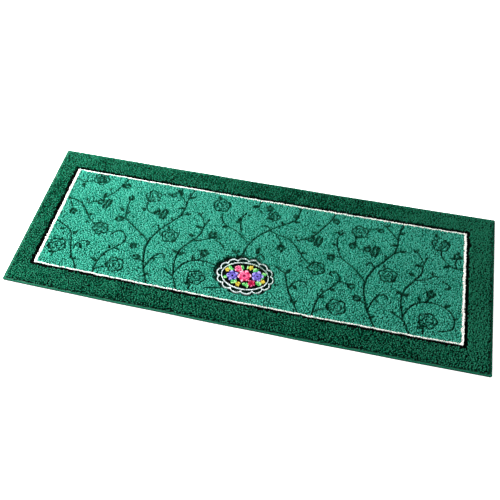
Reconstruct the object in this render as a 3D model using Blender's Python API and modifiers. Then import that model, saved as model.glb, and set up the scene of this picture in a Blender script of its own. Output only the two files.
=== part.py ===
"""A tufted kitchen mat that lies flat, with an overlocked yarn edge.

Metres, +Z up. The origin is under the middle of the mat. X runs along its length, and -Y is the
edge at the feet of whoever stands on it. There are two solids: the tufted pile cloth, and the
overlocked edge that runs all round it. Both rest on the surface at z = 0.
"""

import math

import bmesh
import bpy

# Driving sizes, in metres
LENGTH = 1.200  # over the overlocked edge, along X
DEPTH = 0.450  # over the overlocked edge, along Y
PILE_TOP = 0.010  # backing cloth and pile together
PILE_ROUNDING = 0.003  # the outermost tufts fan out over the edge
EDGE_WIDTH = 0.006  # the overlocked yarn, seen from above
EDGE_TOP = 0.0045
EDGE_ROUNDING = 0.0018
CLEARANCE = 0.00031  # between the pile cloth and the overlocked edge
CORNER_RADIUS = 0.003  # the corners are cut nearly square

# How far the cloth is from true: tufted cloth keeps a slight bow when it is cut and bound
FRONT_BOW = 0.0043  # the front edge stands out this much more in its middle than at its corners
BACK_BOW = 0.0030  # the back edge is drawn in this much in its middle
LEFT_END_SLANT = 0.0142  # the left end was cut this far out of square, as a slope
RIPPLE = 0.0004  # both long edges wander by this much
RIPPLE_WAVES = 5

# How finely outlines are drawn
LONG_SIDE_STEPS = 40
SHORT_SIDE_STEPS = 6
CORNER_STEPS = 5
ROUNDING_STEPS = 3
MERGE_DISTANCE = 0.00001
SHARP_RIM = math.radians(60)
SMOOTH_BELOW = math.radians(40)

# Colours as 8-bit screen values, roughness from 0 to 1
PILE_COLOUR = (50, 148, 125)
PILE_ROUGHNESS = 0.95
EDGE_COLOUR = (34, 115, 88)
EDGE_ROUGHNESS = 0.85


def clear_scene():
    for item in list(bpy.data.objects):
        bpy.data.objects.remove(item, do_unlink=True)


def bowed(x, y):
    """Where the slightly crooked cloth has the point (x, y) of a true rectangle."""
    middle = 1 - (2 * x / LENGTH) ** 2
    leftness = 0.5 - x / LENGTH
    frontness = 0.5 - y / DEPTH
    front_shift = FRONT_BOW * (1 - middle)
    back_shift = -BACK_BOW * middle
    ripple = RIPPLE * math.sin(2 * math.pi * RIPPLE_WAVES * x / LENGTH) * middle
    bent_y = y + front_shift * frontness + back_shift * (1 - frontness) + ripple
    return x - LEFT_END_SLANT * y * leftness, bent_y


def outline(inset):
    """The mat's outline drawn in by inset: a closed loop of (x, y), running anticlockwise."""
    reach_x = LENGTH / 2 - inset - CORNER_RADIUS
    reach_y = DEPTH / 2 - inset - CORNER_RADIUS
    centres = [(reach_x, reach_y), (-reach_x, reach_y), (-reach_x, -reach_y), (reach_x, -reach_y)]
    loop = []
    for quarter, (cx, cy) in enumerate(centres):
        for step in range(CORNER_STEPS + 1):
            angle = math.radians(90) * (quarter + step / CORNER_STEPS)
            x0, y0 = cx + CORNER_RADIUS * math.cos(angle), cy + CORNER_RADIUS * math.sin(angle)
            loop.append((x0, y0))
        angle = math.radians(90) * (quarter + 1)
        next_x, next_y = centres[(quarter + 1) % 4]
        x1, y1 = next_x + CORNER_RADIUS * math.cos(angle), next_y + CORNER_RADIUS * math.sin(angle)
        steps = SHORT_SIDE_STEPS if quarter % 2 else LONG_SIDE_STEPS
        for step in range(1, steps):
            share = step / steps
            loop.append((x0 + (x1 - x0) * share, y0 + (y1 - y0) * share))
    return [bowed(x, y) for x, y in loop]


def centred(loop, whole):
    """The loop moved so that the middle of the whole outline's box is at the origin."""
    xs = [x for x, _ in whole]
    ys = [y for _, y in whole]
    mid_x = (min(xs) + max(xs)) / 2
    mid_y = (min(ys) + max(ys)) / 2
    return [(x - mid_x, y - mid_y) for x, y in loop]


def extruded(name, loops, height):
    """A mesh of the area between the loops, standing from z = 0 to the height."""
    curve = bpy.data.curves.new(name + "_outline", "CURVE")
    curve.dimensions = "2D"
    curve.fill_mode = "BOTH"
    curve.extrude = height / 2
    for loop in loops:
        spline = curve.splines.new("POLY")
        spline.points.add(len(loop) - 1)
        for point, (x, y) in zip(spline.points, loop):
            point.co = (x, y, 0, 1)
        spline.use_cyclic_u = True
    guide = bpy.data.objects.new(name + "_outline", curve)
    guide.location.z = height / 2
    bpy.context.scene.collection.objects.link(guide)
    bpy.context.view_layer.update()
    ready = guide.evaluated_get(bpy.context.evaluated_depsgraph_get())
    mesh = bpy.data.meshes.new_from_object(ready)
    mesh.transform(guide.matrix_world)
    bpy.data.objects.remove(guide, do_unlink=True)
    mesh.name = name
    return mesh


def weld_and_mark_rims(mesh, height):
    """Joins the caps to the walls, and weights the top rims for the Bevel modifier."""
    work = bmesh.new()
    work.from_mesh(mesh)
    bmesh.ops.remove_doubles(work, verts=work.verts, dist=MERGE_DISTANCE)
    weight = work.edges.layers.float.new("bevel_weight_edge")
    for edge in work.edges:
        at_top = all(abs(v.co.z - height) < MERGE_DISTANCE for v in edge.verts)
        if at_top and edge.calc_face_angle(0) > SHARP_RIM:
            edge[weight] = 1
    work.to_mesh(mesh)
    work.free()


def finish(name, colour, roughness):
    """A Principled material from an 8-bit screen colour."""
    material = bpy.data.materials.new(name)
    material.use_nodes = True
    shader = material.node_tree.nodes["Principled BSDF"]
    linear = [(level / 255) ** 2.2 for level in colour]
    shader.inputs["Base Color"].default_value = (*linear, 1)
    shader.inputs["Roughness"].default_value = roughness
    shader.inputs["Metallic"].default_value = 0
    material.diffuse_color = (*linear, 1)
    return material


def flat_piece(name, loops, height, rounding, material, collection):
    """One flat solid resting on z = 0, with its top rims rounded."""
    mesh = extruded(name, loops, height)
    weld_and_mark_rims(mesh, height)
    mesh.materials.clear()
    mesh.materials.append(material)
    piece = bpy.data.objects.new(name, mesh)
    collection.objects.link(piece)
    bevel = piece.modifiers.new("rounded_rims", "BEVEL")
    bevel.limit_method = "WEIGHT"
    bevel.width = rounding
    bevel.segments = ROUNDING_STEPS
    mesh.shade_smooth()
    mesh.set_sharp_from_angle(angle=SMOOTH_BELOW)
    return piece


def pile_cloth(collection):
    """The tufted cloth: backing and pile are one solid as high as the pile stands."""
    loop = centred(outline(EDGE_WIDTH + CLEARANCE), outline(0))
    material = finish("pile", PILE_COLOUR, PILE_ROUGHNESS)
    return flat_piece("pile_mat", [loop], PILE_TOP, PILE_ROUNDING, material, collection)


def overlocked_edge(collection):
    """The yarn that is whipped round the cut edge, lower than the pile."""
    whole = outline(0)
    loops = [centred(whole, whole), centred(outline(EDGE_WIDTH), whole)]
    material = finish("edge_yarn", EDGE_COLOUR, EDGE_ROUGHNESS)
    return flat_piece("edge_binding", loops, EDGE_TOP, EDGE_ROUNDING, material, collection)


def main():
    clear_scene()
    collection = bpy.data.collections.new("kitchen_mat")
    bpy.context.scene.collection.children.link(collection)
    pile_cloth(collection)
    overlocked_edge(collection)


main()
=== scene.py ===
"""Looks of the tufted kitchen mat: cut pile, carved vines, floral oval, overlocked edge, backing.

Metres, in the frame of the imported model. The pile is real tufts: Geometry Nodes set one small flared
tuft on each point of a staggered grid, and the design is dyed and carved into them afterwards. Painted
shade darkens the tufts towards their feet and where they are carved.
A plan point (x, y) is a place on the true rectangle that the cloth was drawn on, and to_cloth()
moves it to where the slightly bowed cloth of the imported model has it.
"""

import math

import bmesh
import bpy
import numpy as np
from mathutils import Matrix, Vector


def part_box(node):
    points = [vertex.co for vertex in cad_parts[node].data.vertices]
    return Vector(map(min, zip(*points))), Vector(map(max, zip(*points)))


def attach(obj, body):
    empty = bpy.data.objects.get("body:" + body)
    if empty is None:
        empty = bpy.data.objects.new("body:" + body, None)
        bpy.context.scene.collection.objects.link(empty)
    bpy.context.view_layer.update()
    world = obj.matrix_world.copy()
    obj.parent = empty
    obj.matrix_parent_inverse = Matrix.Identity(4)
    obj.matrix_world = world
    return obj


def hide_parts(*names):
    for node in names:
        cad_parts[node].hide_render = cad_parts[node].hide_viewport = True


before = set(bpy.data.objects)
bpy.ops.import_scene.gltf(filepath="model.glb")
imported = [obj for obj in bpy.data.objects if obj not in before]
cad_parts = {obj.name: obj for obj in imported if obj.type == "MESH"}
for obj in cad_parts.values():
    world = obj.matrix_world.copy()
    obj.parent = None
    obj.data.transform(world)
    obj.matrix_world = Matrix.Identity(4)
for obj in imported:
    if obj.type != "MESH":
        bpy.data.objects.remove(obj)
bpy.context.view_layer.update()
pile_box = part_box("pile_mat")
edge_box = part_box("edge_binding")

MM = 0.001
SEED = 11

# ---------------------------------------------------------------- sizes of the cloth and its pile
PILE_TOP = pile_box[1].z
HALF_LENGTH = 593.7 * MM  # of the true rectangle, before the cloth's bow and slant
HALF_DEPTH = 218.7 * MM
PLAN_MIDDLE = 1.6 * MM  # the true rectangle's middle is this far along X from the origin
CORNER_REACH = 8 * MM  # its rounded corners lie within this of its ends
GROUND_THICKNESS = 1.8 * MM
ROOT_LEVEL = 0.8 * GROUND_THICKNESS  # the tufts' feet stand in the ground cloth
PILE_SLACK = 0.8 * MM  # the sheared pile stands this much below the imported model's top
PILE_UNEVENNESS = 0.22 * MM
RIM_ROUNDING = 6 * MM  # the pile is rounded down within this of the cloth's edge
RIM_DROPS = (2.4 * MM, 0.6 * MM)  # at the front edge, and at the back one, where it stands full

FIELD_PITCH = 2.6 * MM
BORDER_PITCH = 2.7 * MM
LINE_PITCH = 2.2 * MM
OVAL_PITCH = 1.7 * MM
TUFT_JITTER = 0.18  # of the pitch
TUFT_RAGGEDNESS = 0.18  # of the pitch, at the tip
TUFT_WIDTHS = (0.9, 1.12)  # the thinnest and the thickest, as shares of the usual one
TIP_SPREAD = 0.62  # radius of a tuft's tip, of the pitch
ROOT_SPREAD = 0.34
TUFT_SIDES = 4
TUFT_UNEVENNESS = 0.12  # in height, of the pitch
TUFT_LEAN = 0.13  # radians, how far one tuft leans from its neighbours
NAP_LEAN = (0.05, -0.03)  # radians, how far the whole pile leans towards +X and +Y
NAP_DRIFT = 0.08  # radians, how far the lean changes from patch to patch
RIM_LEAN = 0.32  # radians, how far the outermost tufts lean outwards
RIM_LEAN_REACH = 7 * MM

STITCH_PITCH = 2.3 * MM
STITCH_YARN = 1.15 * MM
STITCH_STEPS = 5  # of the curve that one loop of yarn follows
STITCH_SIDES = 4
STITCH_SIZES = (0.93, 1.06)  # the smallest and the largest, as shares of the usual one

# ---------------------------------------------------------------- sizes of the design
# The inner panel, to the seam between the black and the cream line
PANEL_LEFT = -539.4 * MM
PANEL_RIGHT = 532.0 * MM
PANEL_BACK = 160.2 * MM
PANEL_FRONT = -160.0 * MM
PANEL_SKEW = 0.015  # the design was tufted this far out of square
BACK_LINE_SLOPE = 0.002  # and its back line runs this much out of true
LINE_ROWS = 3
BLACK_WIDTHS = {"left": 10.0 * MM, "right": 8.8 * MM, "front": 7.6 * MM, "back": 9.4 * MM}
CREAM_WIDTHS = {"left": 5.8 * MM, "right": 5.4 * MM, "front": 0.3 * MM, "back": 0.1 * MM}
LONG_CREAM_THICKNESS = 0.75  # of the cream tufts along the long sides, as a share of the others
LINE_END_REACH = 9 * MM  # how far in from the panel's ends the cream tufts are thick
LINE_WANDER = 0.5 * MM
LINE_WAVE = 38 * MM

BLACK_DROP = 3.4 * MM  # how far the black line lies below the pile on either side
VINE_DROP = 4.0 * MM  # how deep the vines are carved
CARVED_SHADE = 0.05  # how far up the yarn's colours a carved tip lies: painted shade in the carved grooves
WEAR_LEVEL = 0.99  # how deep a hand shears the carving, of its full depth
WEAR_DEPTH = 0.2  # how much that changes from place to place
WEAR_WAVE = 13 * MM
WEAR_LIMIT = 0.62  # the shallowest, of the full depth
STEM_WEIGHT = 1.13  # the shears cut this much wider than the drawn stems
PATH_STEP = 2.5 * MM  # between the points of a smooth stem
LEAF_DEPTH = 0.84  # of the deepest carving
LEAF_WIDTH = 0.46  # of its length
FLOWER_SQUASH = 0.9  # flowers are wider than they are deep
RING_STEP = 1.6 * MM

# Buds. Lengths are of the bud's length
BUD_LINE = 2.6 * MM
BUD_MIDDLE = 0.55  # from its foot
BUD_RADIUS = 0.43
BUD_PETALS = 5
BUD_DENT = 0.3  # of the radius
BUD_FILL = 1.7  # the width of the shaded petals, of the radius
BUD_CUP = (1.1, 0.5)  # length and width
BUD_DEPTHS = (0.8, 0.6)  # how deep its cup and its petals are carved
BUD_SEAM = (-0.15, 0.33)  # where a light seam starts and ends, from the middle
BUD_SEAM_TURN = 0.75  # radians, to either side
BUD_SEAM_WIDTH = 1.5 * MM

# Roses. Lengths are of the rose's radius, line widths of ROSE_LINE, and how deep 1 is full depth
ROSE_LINE = 3.4 * MM
ROSE_WHORLS = [
    # radius, dent, turn in radians, a petal's crown and arc in degrees, its line's widths at both
    # ends, how far in the seams between the petals start, how deep each petal is carved
    (1.0, 0.22, 0, 36, 66, (0.9, 1.3), 0.68, (1.0, 0.8, 1.0, 0.65, 0.95)),
    (0.56, 0.2, 0.5, 50, 95, (0.6, 1.1), None, (1.0, 0.75, 1.0)),
]
ROSE_SEAM_WIDTH = 0.7  # at its inner end
ROSE_ARCS = [
    # radius, start and sweep in radians, its line's widths at both ends, how deep: heart, shaded side
    (0.2, 1, 4.2, (0.9, 0.7), 0.9),
    (0.84, 3, 1.0, (1.6, 1.2), 0.75),
]

# Blossoms: a small round flower and a long one in two lobes. Lengths are of the blossom's size, and
# the widths of outlines are of ROSE_LINE, at both ends
PETAL_STEPS = 48
PETAL_FRILLS = 9  # waves round a lobe's rim
PETAL_FRILL = 0.13  # of the lobe's width
SMALL_FLOWER = (-0.55, 0.05)
SMALL_RING = (0.4, 5, 0.35, 0.4)  # radius, petals, dent, turn in radians
SMALL_OUTLINE = (1.05, 0.9)
SMALL_FILL = (0.7, 0.35)  # the spot's width, and how deep it is
SMALL_SLIT = (-2 * MM, 3 * MM)
SMALL_SLIT_WIDTH = 2 * MM
LONG_FLOWER = (0.42, -0.05)
LOBES = [
    # how far aside, half its length and half its width, how deep
    (0.22, 0.738, 0.18, 0.95),
    (-0.18, 0.702, 0.2, 1.0),
]
LOBE_OUTLINE = (0.85, 1.05)
LOBE_FILL = 0.4  # half the length of a lobe's shaded middle
LOBE_FILL_WIDENING = 1.3
LOBE_FILL_DEPTH = 0.7  # of the lobe's own
LONG_SLIT = (-0.5, 0.55)
LONG_SLIT_TURN = 0.12  # radians
LONG_SLIT_WIDTHS = (2.8 * MM, 2.2 * MM)
SEPAL = (-0.1, 0.1, 42, 0.9, 0.26)  # x and y, turn in degrees, length and width

# How light the pile lies: partly brushed nap, partly painted light that lightens the right end, where the
# key light falls off. Places along X in millimetres, and how much lighter it is there
BRUSHED_AND_LIT_FIELD = [(-500, -0.04), (-250, 0.02), (-60, 0.0), (100, -0.02), (250, 0.01), (500, 0.05)]
BRUSHED_AND_LIT_FRONT = [(-500, -0.12), (-290, -0.2), (-60, -0.08), (180, -0.13), (410, -0.1), (560, 0.18)]
BRUSHED_AND_LIT_BACK = [(-500, -0.14), (-290, -0.15), (-60, -0.22), (180, -0.32), (410, 0.07), (560, 0.34)]
# Patches of brushed nap, and of painted light that lightens the right end
BRUSHED_AND_LIT_PATCHES = [
    # the middle's x and y and the reach, in millimetres, and how much lighter the pile lies there
    (570, -115, 48, 0.3), (568, -8, 42, -0.13), (566, 105, 40, 0.1), (545, -205, 45, 0.06),
    (-572, -5, 55, -0.15), (-572, 105, 55, -0.08), (-572, -115, 55, -0.06), (-520, -200, 50, 0.03),
    (-495, 60, 90, -0.03), (-235, -5, 55, 0.04), (-235, 108, 50, -0.04), (495, -115, 42, 0.05),
    (495, 108, 42, 0.04), (265, -10, 50, -0.03), (395, 0, 55, -0.07), (-365, -115, 45, 0.02),
]
# Drifting lightness: how much, its wavelength, its seed
BORDER_DRIFTS = [(0.10, 70 * MM, 41), (0.05, 24 * MM, 42)]
FIELD_DRIFTS = [(0.05, 80 * MM, 43), (0.03, 25 * MM, 44)]
LINE_DRIFTS = [(0.03, 30 * MM, 45)]
# Places along X in millimetres, and how much one tuft differs from the next there
BORDER_MOTTLE = [(-300, 0.56), (0, 0.6), (300, 0.6), (540, 0.85)]
FIELD_MOTTLE = [(0, 0.47)]
LINE_MOTTLE = [(0, 0.12)]

# The floral oval: black ground inside a line, and a lacy frame of scallops round it
OVAL_X = -1 * MM
OVAL_Y = -83 * MM
OVAL_GROUND = (58 * MM, 37.5 * MM)  # half its length and half its depth
OVAL_FRAME = 14.5 * MM  # from the black ground to the crowns of the scallops
OVAL_BAND = 4.2 * MM  # the plain band within the scallops
OVAL_SCALLOPS = 14
SCALLOP_VALLEY = 2.2 * MM  # from the band to the valleys between the scallops
SCALLOP_ROUNDNESS = 0.55
OVAL_INNER_LINE = 1.2 * MM  # outside the black ground
OVAL_OUTER_LINE = 1.0 * MM  # inside the scallops' outline
OVAL_LINE_TIP = 0.58 * MM
OVAL_LINE_SPACING = 1.4 * OVAL_LINE_TIP
OVAL_CLEARANCE = 0.72 * OVAL_PITCH  # from the lines to the tufts round them
OVAL_SHADOW = 6 * MM  # how far black yarn reaches past the scallops on the shadow side: painted shadow
OVAL_TRENCH = 4.8 * MM  # the width of the sheared slope round it
OVAL_TRENCH_WIDENING = 0.4  # on the shadow side
OVAL_TRENCH_FLOOR = 1 * MM  # the width of its flat bottom
OVAL_TRENCH_DROP = 3.0 * MM  # how much lower the field is sheared there, before it is carved
OVAL_TRENCH_LIMIT = 1.12  # the most that is sheared and carved there, of OVAL_TRENCH_DROP; past full depth it makes the tips darker still, as painted shadow
OVAL_SHADED_SIDE = math.radians(50)  # more of the frame's lines are in the duller sage yarn on this side, as painted shade
OVAL_DULL_AND_SHADED_SHARES = (0.05, 0.5)  # of sage tufts everywhere, and how many more on that side, as painted shade
OVAL_SHADOW_SIDE = math.radians(138)  # the frame is sunk deepest on this side, where the painted shadow round it is widest


# ---------------------------------------------------------------- the plan and the cloth
def mesh_points(mesh):
    """A mesh's vertices, as rows of x, y and z."""
    points = np.empty(len(mesh.vertices) * 3, np.float32)
    mesh.vertices.foreach_get("co", points)
    return points.reshape(-1, 3)


PILE_POINTS = mesh_points(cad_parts["pile_mat"].data).astype(float)


def long_edge(side):
    """The pile cloth's front (-1) or back (1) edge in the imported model, as sorted x and their y."""
    x, y, z = PILE_POINTS.T
    edge = PILE_POINTS[(z < MM) & (abs(x) < pile_box[1].x - CORNER_REACH) & (y * side > 0)]
    edge = edge[np.argsort(edge[:, 0])]
    return edge[:, 0], edge[:, 1]


def end_edge(side):
    """The pile cloth's straight left (-1) or right (1) end, as the y and the x of its two ends."""
    halves = [PILE_POINTS[PILE_POINTS[:, 1] * half > 0] for half in (-1, 1)]
    ends = [half[np.argmax(half[:, 0] * side)] for half in halves]
    return [end[1] for end in ends], [end[0] for end in ends]


FRONT_EDGE, BACK_EDGE = long_edge(-1), long_edge(1)
LEFT_EDGE, RIGHT_EDGE = end_edge(-1), end_edge(1)


def to_cloth(x, y):
    """Where the bowed cloth has the plan point (x, y)."""
    cloth_x = x + PLAN_MIDDLE
    front = np.interp(cloth_x, *FRONT_EDGE)
    back = np.interp(cloth_x, *BACK_EDGE)
    share = (y + HALF_DEPTH) / (2 * HALF_DEPTH)
    return cloth_x, front + (back - front) * share


def from_cloth(cloth_x, cloth_y):
    """The plan point of a place on the cloth."""
    front = np.interp(cloth_x, *FRONT_EDGE)
    back = np.interp(cloth_x, *BACK_EDGE)
    return cloth_x - PLAN_MIDDLE, (cloth_y - front) / (back - front) * 2 * HALF_DEPTH - HALF_DEPTH


def drift(x, y, wavelength, seed, waves=7):
    """Smooth uneven values over the cloth, about -1 to 1: plane waves that cross at random."""
    random = np.random.default_rng(seed)
    total = np.zeros_like(np.asarray(x, float))
    for _ in range(waves):
        angle = random.uniform(0, math.pi)
        length = wavelength * random.uniform(0.7, 1.5)
        phase = random.uniform(0, 2 * math.pi)
        along = x * math.cos(angle) + y * math.sin(angle)
        total = total + np.sin(2 * math.pi * along / length + phase)
    return total / math.sqrt(waves / 2) / 1.6


def along_x(table, x):
    """A table's value at each plan x. Its rows hold a place in millimetres and the value there."""
    return np.interp(x / MM, *zip(*table))


def line_wander(x, y):
    """How far the tufted lines stray outwards from true at a plan point."""
    return LINE_WANDER * drift(x, y, LINE_WAVE, seed=3)


def panel_depth(x, y, widths):
    """How far a plan point is inside the panel, drawn in by a width on each of its sides."""
    skewed = x + PANEL_SKEW * y
    depth = np.minimum(skewed - PANEL_LEFT - widths["left"], PANEL_RIGHT - skewed - widths["right"])
    depth = np.minimum(depth, y - PANEL_FRONT - widths["front"])
    depth = np.minimum(depth, PANEL_BACK + BACK_LINE_SLOPE * x - y - widths["back"])
    return depth + line_wander(x, y)


def end_distance(x, y):
    """How far a plan point is from the pile cloth's left or right end."""
    cloth_x, cloth_y = to_cloth(x, y)
    left = np.interp(cloth_y, *LEFT_EDGE)
    right = np.interp(cloth_y, *RIGHT_EDGE)
    return np.minimum(cloth_x - left, right - cloth_x)


def rim_distance(x, y):
    """How far a plan point is from the pile cloth's edge."""
    return np.minimum(end_distance(x, y), HALF_DEPTH - np.abs(y))


def oval_polar(x, y):
    """A plan point's angle round the oval, and how far outside the oval's ground it is."""
    half_length, half_depth = OVAL_GROUND
    across = (x - OVAL_X) / half_length
    up = (y - OVAL_Y) / half_depth
    reach = np.hypot(across, up)
    angle = np.arctan2(up, across)
    cosine, sine = np.cos(angle), np.sin(angle)
    size = np.hypot(half_length * cosine, half_depth * sine)
    # An ellipse's normal distance is a little less than the distance along the ray
    slope = half_length * half_depth / (size * np.hypot(half_depth * cosine, half_length * sine))
    return angle, (reach - 1) * size * slope


def shadow_side(angle):
    """How far an angle round the oval lies towards the side where its frame is sunk deepest and its painted
    shadow is widest.
    """
    return np.maximum(0, np.cos(angle - OVAL_SHADOW_SIDE))


def scallop_crown(angle):
    """How far out the frame's scalloped outline stands at an angle round the oval."""
    rise = np.abs(np.cos(angle * OVAL_SCALLOPS / 2)) ** SCALLOP_ROUNDNESS
    return OVAL_BAND + SCALLOP_VALLEY + (OVAL_FRAME - OVAL_BAND - SCALLOP_VALLEY) * rise


def frame_edge(angle):
    """How far out the frame's own fine pile reaches: past the scallops on its shadow side, as black tufts of
    painted shadow.
    """
    return scallop_crown(angle) + OVAL_SHADOW * shadow_side(angle) ** 1.5


def oval_gap(x, y):
    """How far a plan point is outside the oval's frame, roughly."""
    angle, outside = oval_polar(x, y)
    return outside - frame_edge(angle)


def trench(x, y):
    """How deep in the sheared trench round the oval a plan point is: 0 outside it."""
    angle, outside = oval_polar(x, y)
    width = OVAL_TRENCH * (1 + OVAL_TRENCH_WIDENING * shadow_side(angle))
    up_the_slope = (outside - frame_edge(angle) - OVAL_TRENCH_FLOOR) / width
    return np.clip(OVAL_TRENCH_LIMIT - up_the_slope, 0, OVAL_TRENCH_LIMIT)


# ---------------------------------------------------------------- the carved design
class Chart:
    """A plan of the panel in small cells, which holds how strongly each place is carved, 0 to 1."""

    CELL = 0.5 * MM
    SOFTNESS = 0.8 * MM
    MARGIN = 20 * MM

    def __init__(self):
        self.low_x = PANEL_LEFT - self.MARGIN
        self.low_y = PANEL_FRONT - self.MARGIN
        self.columns = int((PANEL_RIGHT + self.MARGIN - self.low_x) / self.CELL)
        self.rows = int((PANEL_BACK + self.MARGIN - self.low_y) / self.CELL)
        self.cells = np.zeros((self.rows, self.columns))

    def middles(self, columns, rows):
        """The x and the y of the middles of the cells in a slice of columns and one of rows."""
        x = self.low_x + (np.arange(columns.start, columns.stop) + 0.5) * self.CELL
        y = self.low_y + (np.arange(rows.start, rows.stop) + 0.5) * self.CELL
        return np.meshgrid(x, y)

    def window(self, xs, ys, margin):
        """The cells round some points, as slices and as the cells' own x and y."""
        first_x = int((min(xs) - margin - self.low_x) / self.CELL)
        last_x = int((max(xs) + margin - self.low_x) / self.CELL) + 1
        first_y = int((min(ys) - margin - self.low_y) / self.CELL)
        last_y = int((max(ys) + margin - self.low_y) / self.CELL) + 1
        columns = slice(max(first_x, 0), min(last_x, self.columns))
        rows = slice(max(first_y, 0), min(last_y, self.rows))
        if columns.start >= columns.stop or rows.start >= rows.stop:
            return None
        return (rows, columns), self.middles(columns, rows)

    def mark(self, where, inside, strength=1.0):
        """Carves where the distance inside a shape is above 0, with a soft edge."""
        value = strength * np.clip(inside / self.SOFTNESS + 0.5, 0, 1)
        self.cells[where] = np.maximum(self.cells[where], value)

    def clear(self, where, inside):
        """Takes the carving away inside a shape, to leave a line of plain pile."""
        keep = 1 - np.clip(inside / self.SOFTNESS + 0.5, 0, 1)
        self.cells[where] = self.cells[where] * keep

    def line(self, points, width_start, width_end, clearing=False, strength=1.0):
        """A line of changing width through points that are close together."""
        points = np.asarray(points)
        widths = np.linspace(width_start, width_end, len(points))
        for (ax, ay), (bx, by), width in zip(points[:-1], points[1:], widths):
            found = self.window((ax, bx), (ay, by), width)
            if found is None:
                continue
            where, (x, y) = found
            dx, dy = bx - ax, by - ay
            length_squared = max(dx * dx + dy * dy, 1e-12)
            share = np.clip(((x - ax) * dx + (y - ay) * dy) / length_squared, 0, 1)
            distance = np.hypot(x - ax - share * dx, y - ay - share * dy)
            if clearing:
                self.clear(where, width / 2 - distance)
            else:
                self.mark(where, width / 2 - distance, strength)

    def spot(self, x, y, width, strength):
        """A round spot."""
        self.line([(x, y)] * 2, width, width, strength=strength)

    def leaf(self, x, y, angle, length, width, strength=1.0):
        """A pointed leaf from (x, y) along the angle, fullest a little before its middle."""
        tip_x, tip_y = x + length * math.cos(angle), y + length * math.sin(angle)
        found = self.window((x, tip_x), (y, tip_y), width)
        if found is None:
            return
        where, (cell_x, cell_y) = found
        along = ((cell_x - x) * math.cos(angle) + (cell_y - y) * math.sin(angle)) / length
        across = (cell_y - y) * math.cos(angle) - (cell_x - x) * math.sin(angle)
        share = np.clip(along, 0, 1)
        half_width = width / 2 * np.sin(math.pi * share**0.8) ** 0.8
        beyond = np.abs(along - share) * length
        self.mark(where, half_width - np.abs(across) - beyond, strength)

    def wear(self):
        """Makes the carving shallower here and there, as a hand shears it."""
        x, y = self.middles(slice(0, self.columns), slice(0, self.rows))
        depth = WEAR_LEVEL + WEAR_DEPTH * drift(x, y, WEAR_WAVE, 51)
        self.cells *= np.clip(depth, WEAR_LIMIT, 1)

    def at(self, x, y):
        """The carving at some points, read between the cells."""
        column = (np.asarray(x) - self.low_x) / self.CELL - 0.5
        row = (np.asarray(y) - self.low_y) / self.CELL - 0.5
        outside = (column < 0) | (row < 0) | (column > self.columns - 2) | (row > self.rows - 2)
        column = np.clip(column, 0, self.columns - 2)
        row = np.clip(row, 0, self.rows - 2)
        c, r = column.astype(int), row.astype(int)
        past_c, past_r = column - c, row - r
        low = self.cells[r, c] * (1 - past_c) + self.cells[r, c + 1] * past_c
        high = self.cells[r + 1, c] * (1 - past_c) + self.cells[r + 1, c + 1] * past_c
        return np.where(outside, 0, low * (1 - past_r) + high * past_r)


def smooth_path(points):
    """Points close together on a smooth curve through the given ones."""
    points = [Vector(p) for p in points]
    points = [points[0] * 2 - points[1], *points, points[-1] * 2 - points[-2]]
    path = []
    for before, start, end, after in zip(points, points[1:], points[2:], points[3:]):
        count = max(2, int((end - start).length / PATH_STEP))
        for i in range(count):
            t = i / count
            straight = 2 * start + (end - before) * t
            bend = (2 * before - 5 * start + 4 * end - after) * t * t
            turn = (3 * start - before - 3 * end + after) * t * t * t
            path.append(0.5 * (straight + bend + turn))
    path.append(points[-2])
    return [(p.x, p.y) for p in path]


def spoke(x, y, angle, inner, outer):
    """The two ends of a straight line that lies along an angle from (x, y)."""
    return [(x + reach * math.cos(angle), y + reach * math.sin(angle)) for reach in (inner, outer)]


def ring(x, y, radius, petals, dent, turn, start=0.0, sweep=2 * math.pi):
    """Points round a scalloped ring, or round a part of one."""
    count = max(12, int(radius * sweep / RING_STEP))
    path = []
    for i in range(count + 1):
        angle = start + sweep * i / count
        reach = radius * (1 - dent + dent * abs(math.cos((angle - turn) * petals / 2)))
        path.append((x + reach * math.cos(angle), y + FLOWER_SQUASH * reach * math.sin(angle)))
    return path


def petal_path(x, y, half_length, half_width, angle):
    """Points round a long petal with a frilled rim, as a closed line."""
    path = []
    for i in range(PETAL_STEPS + 1):
        way = 2 * math.pi * i / PETAL_STEPS
        frill = 1 + PETAL_FRILL * math.sin(PETAL_FRILLS * way)
        along, across = half_length * frill * math.cos(way), half_width * frill * math.sin(way)
        petal_x = x + along * math.cos(angle) - across * math.sin(angle)
        petal_y = y + along * math.sin(angle) + across * math.cos(angle)
        path.append((petal_x, petal_y))
    return path


def draw_leaf(chart, x, y, degrees, length):
    """A pointed leaf with its stalk end at (x, y)."""
    chart.leaf(x, y, math.radians(degrees), length, length * LEAF_WIDTH, LEAF_DEPTH)


def draw_bud(chart, x, y, degrees, length):
    """A round, half-open bud on a short foot: shaded petals with a darker rim and light seams."""
    angle = math.radians(degrees)
    middle_x = x + BUD_MIDDLE * length * math.cos(angle)
    middle_y = y + BUD_MIDDLE * length * math.sin(angle)
    radius = BUD_RADIUS * length
    cup_length, cup_width = BUD_CUP
    cup_depth, petal_depth = BUD_DEPTHS
    chart.leaf(x, y, angle, length * cup_length, length * cup_width, cup_depth)
    chart.spot(middle_x, middle_y, radius * BUD_FILL, petal_depth)
    rim = ring(middle_x, middle_y, radius, BUD_PETALS, BUD_DENT, angle)
    chart.line(rim, BUD_LINE, BUD_LINE)
    inner, outer = BUD_SEAM
    for aside in (-BUD_SEAM_TURN, BUD_SEAM_TURN):
        seam = spoke(middle_x, middle_y, angle + aside, inner * length, outer * length)
        chart.line(seam, BUD_SEAM_WIDTH, BUD_SEAM_WIDTH, clearing=True)


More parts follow.
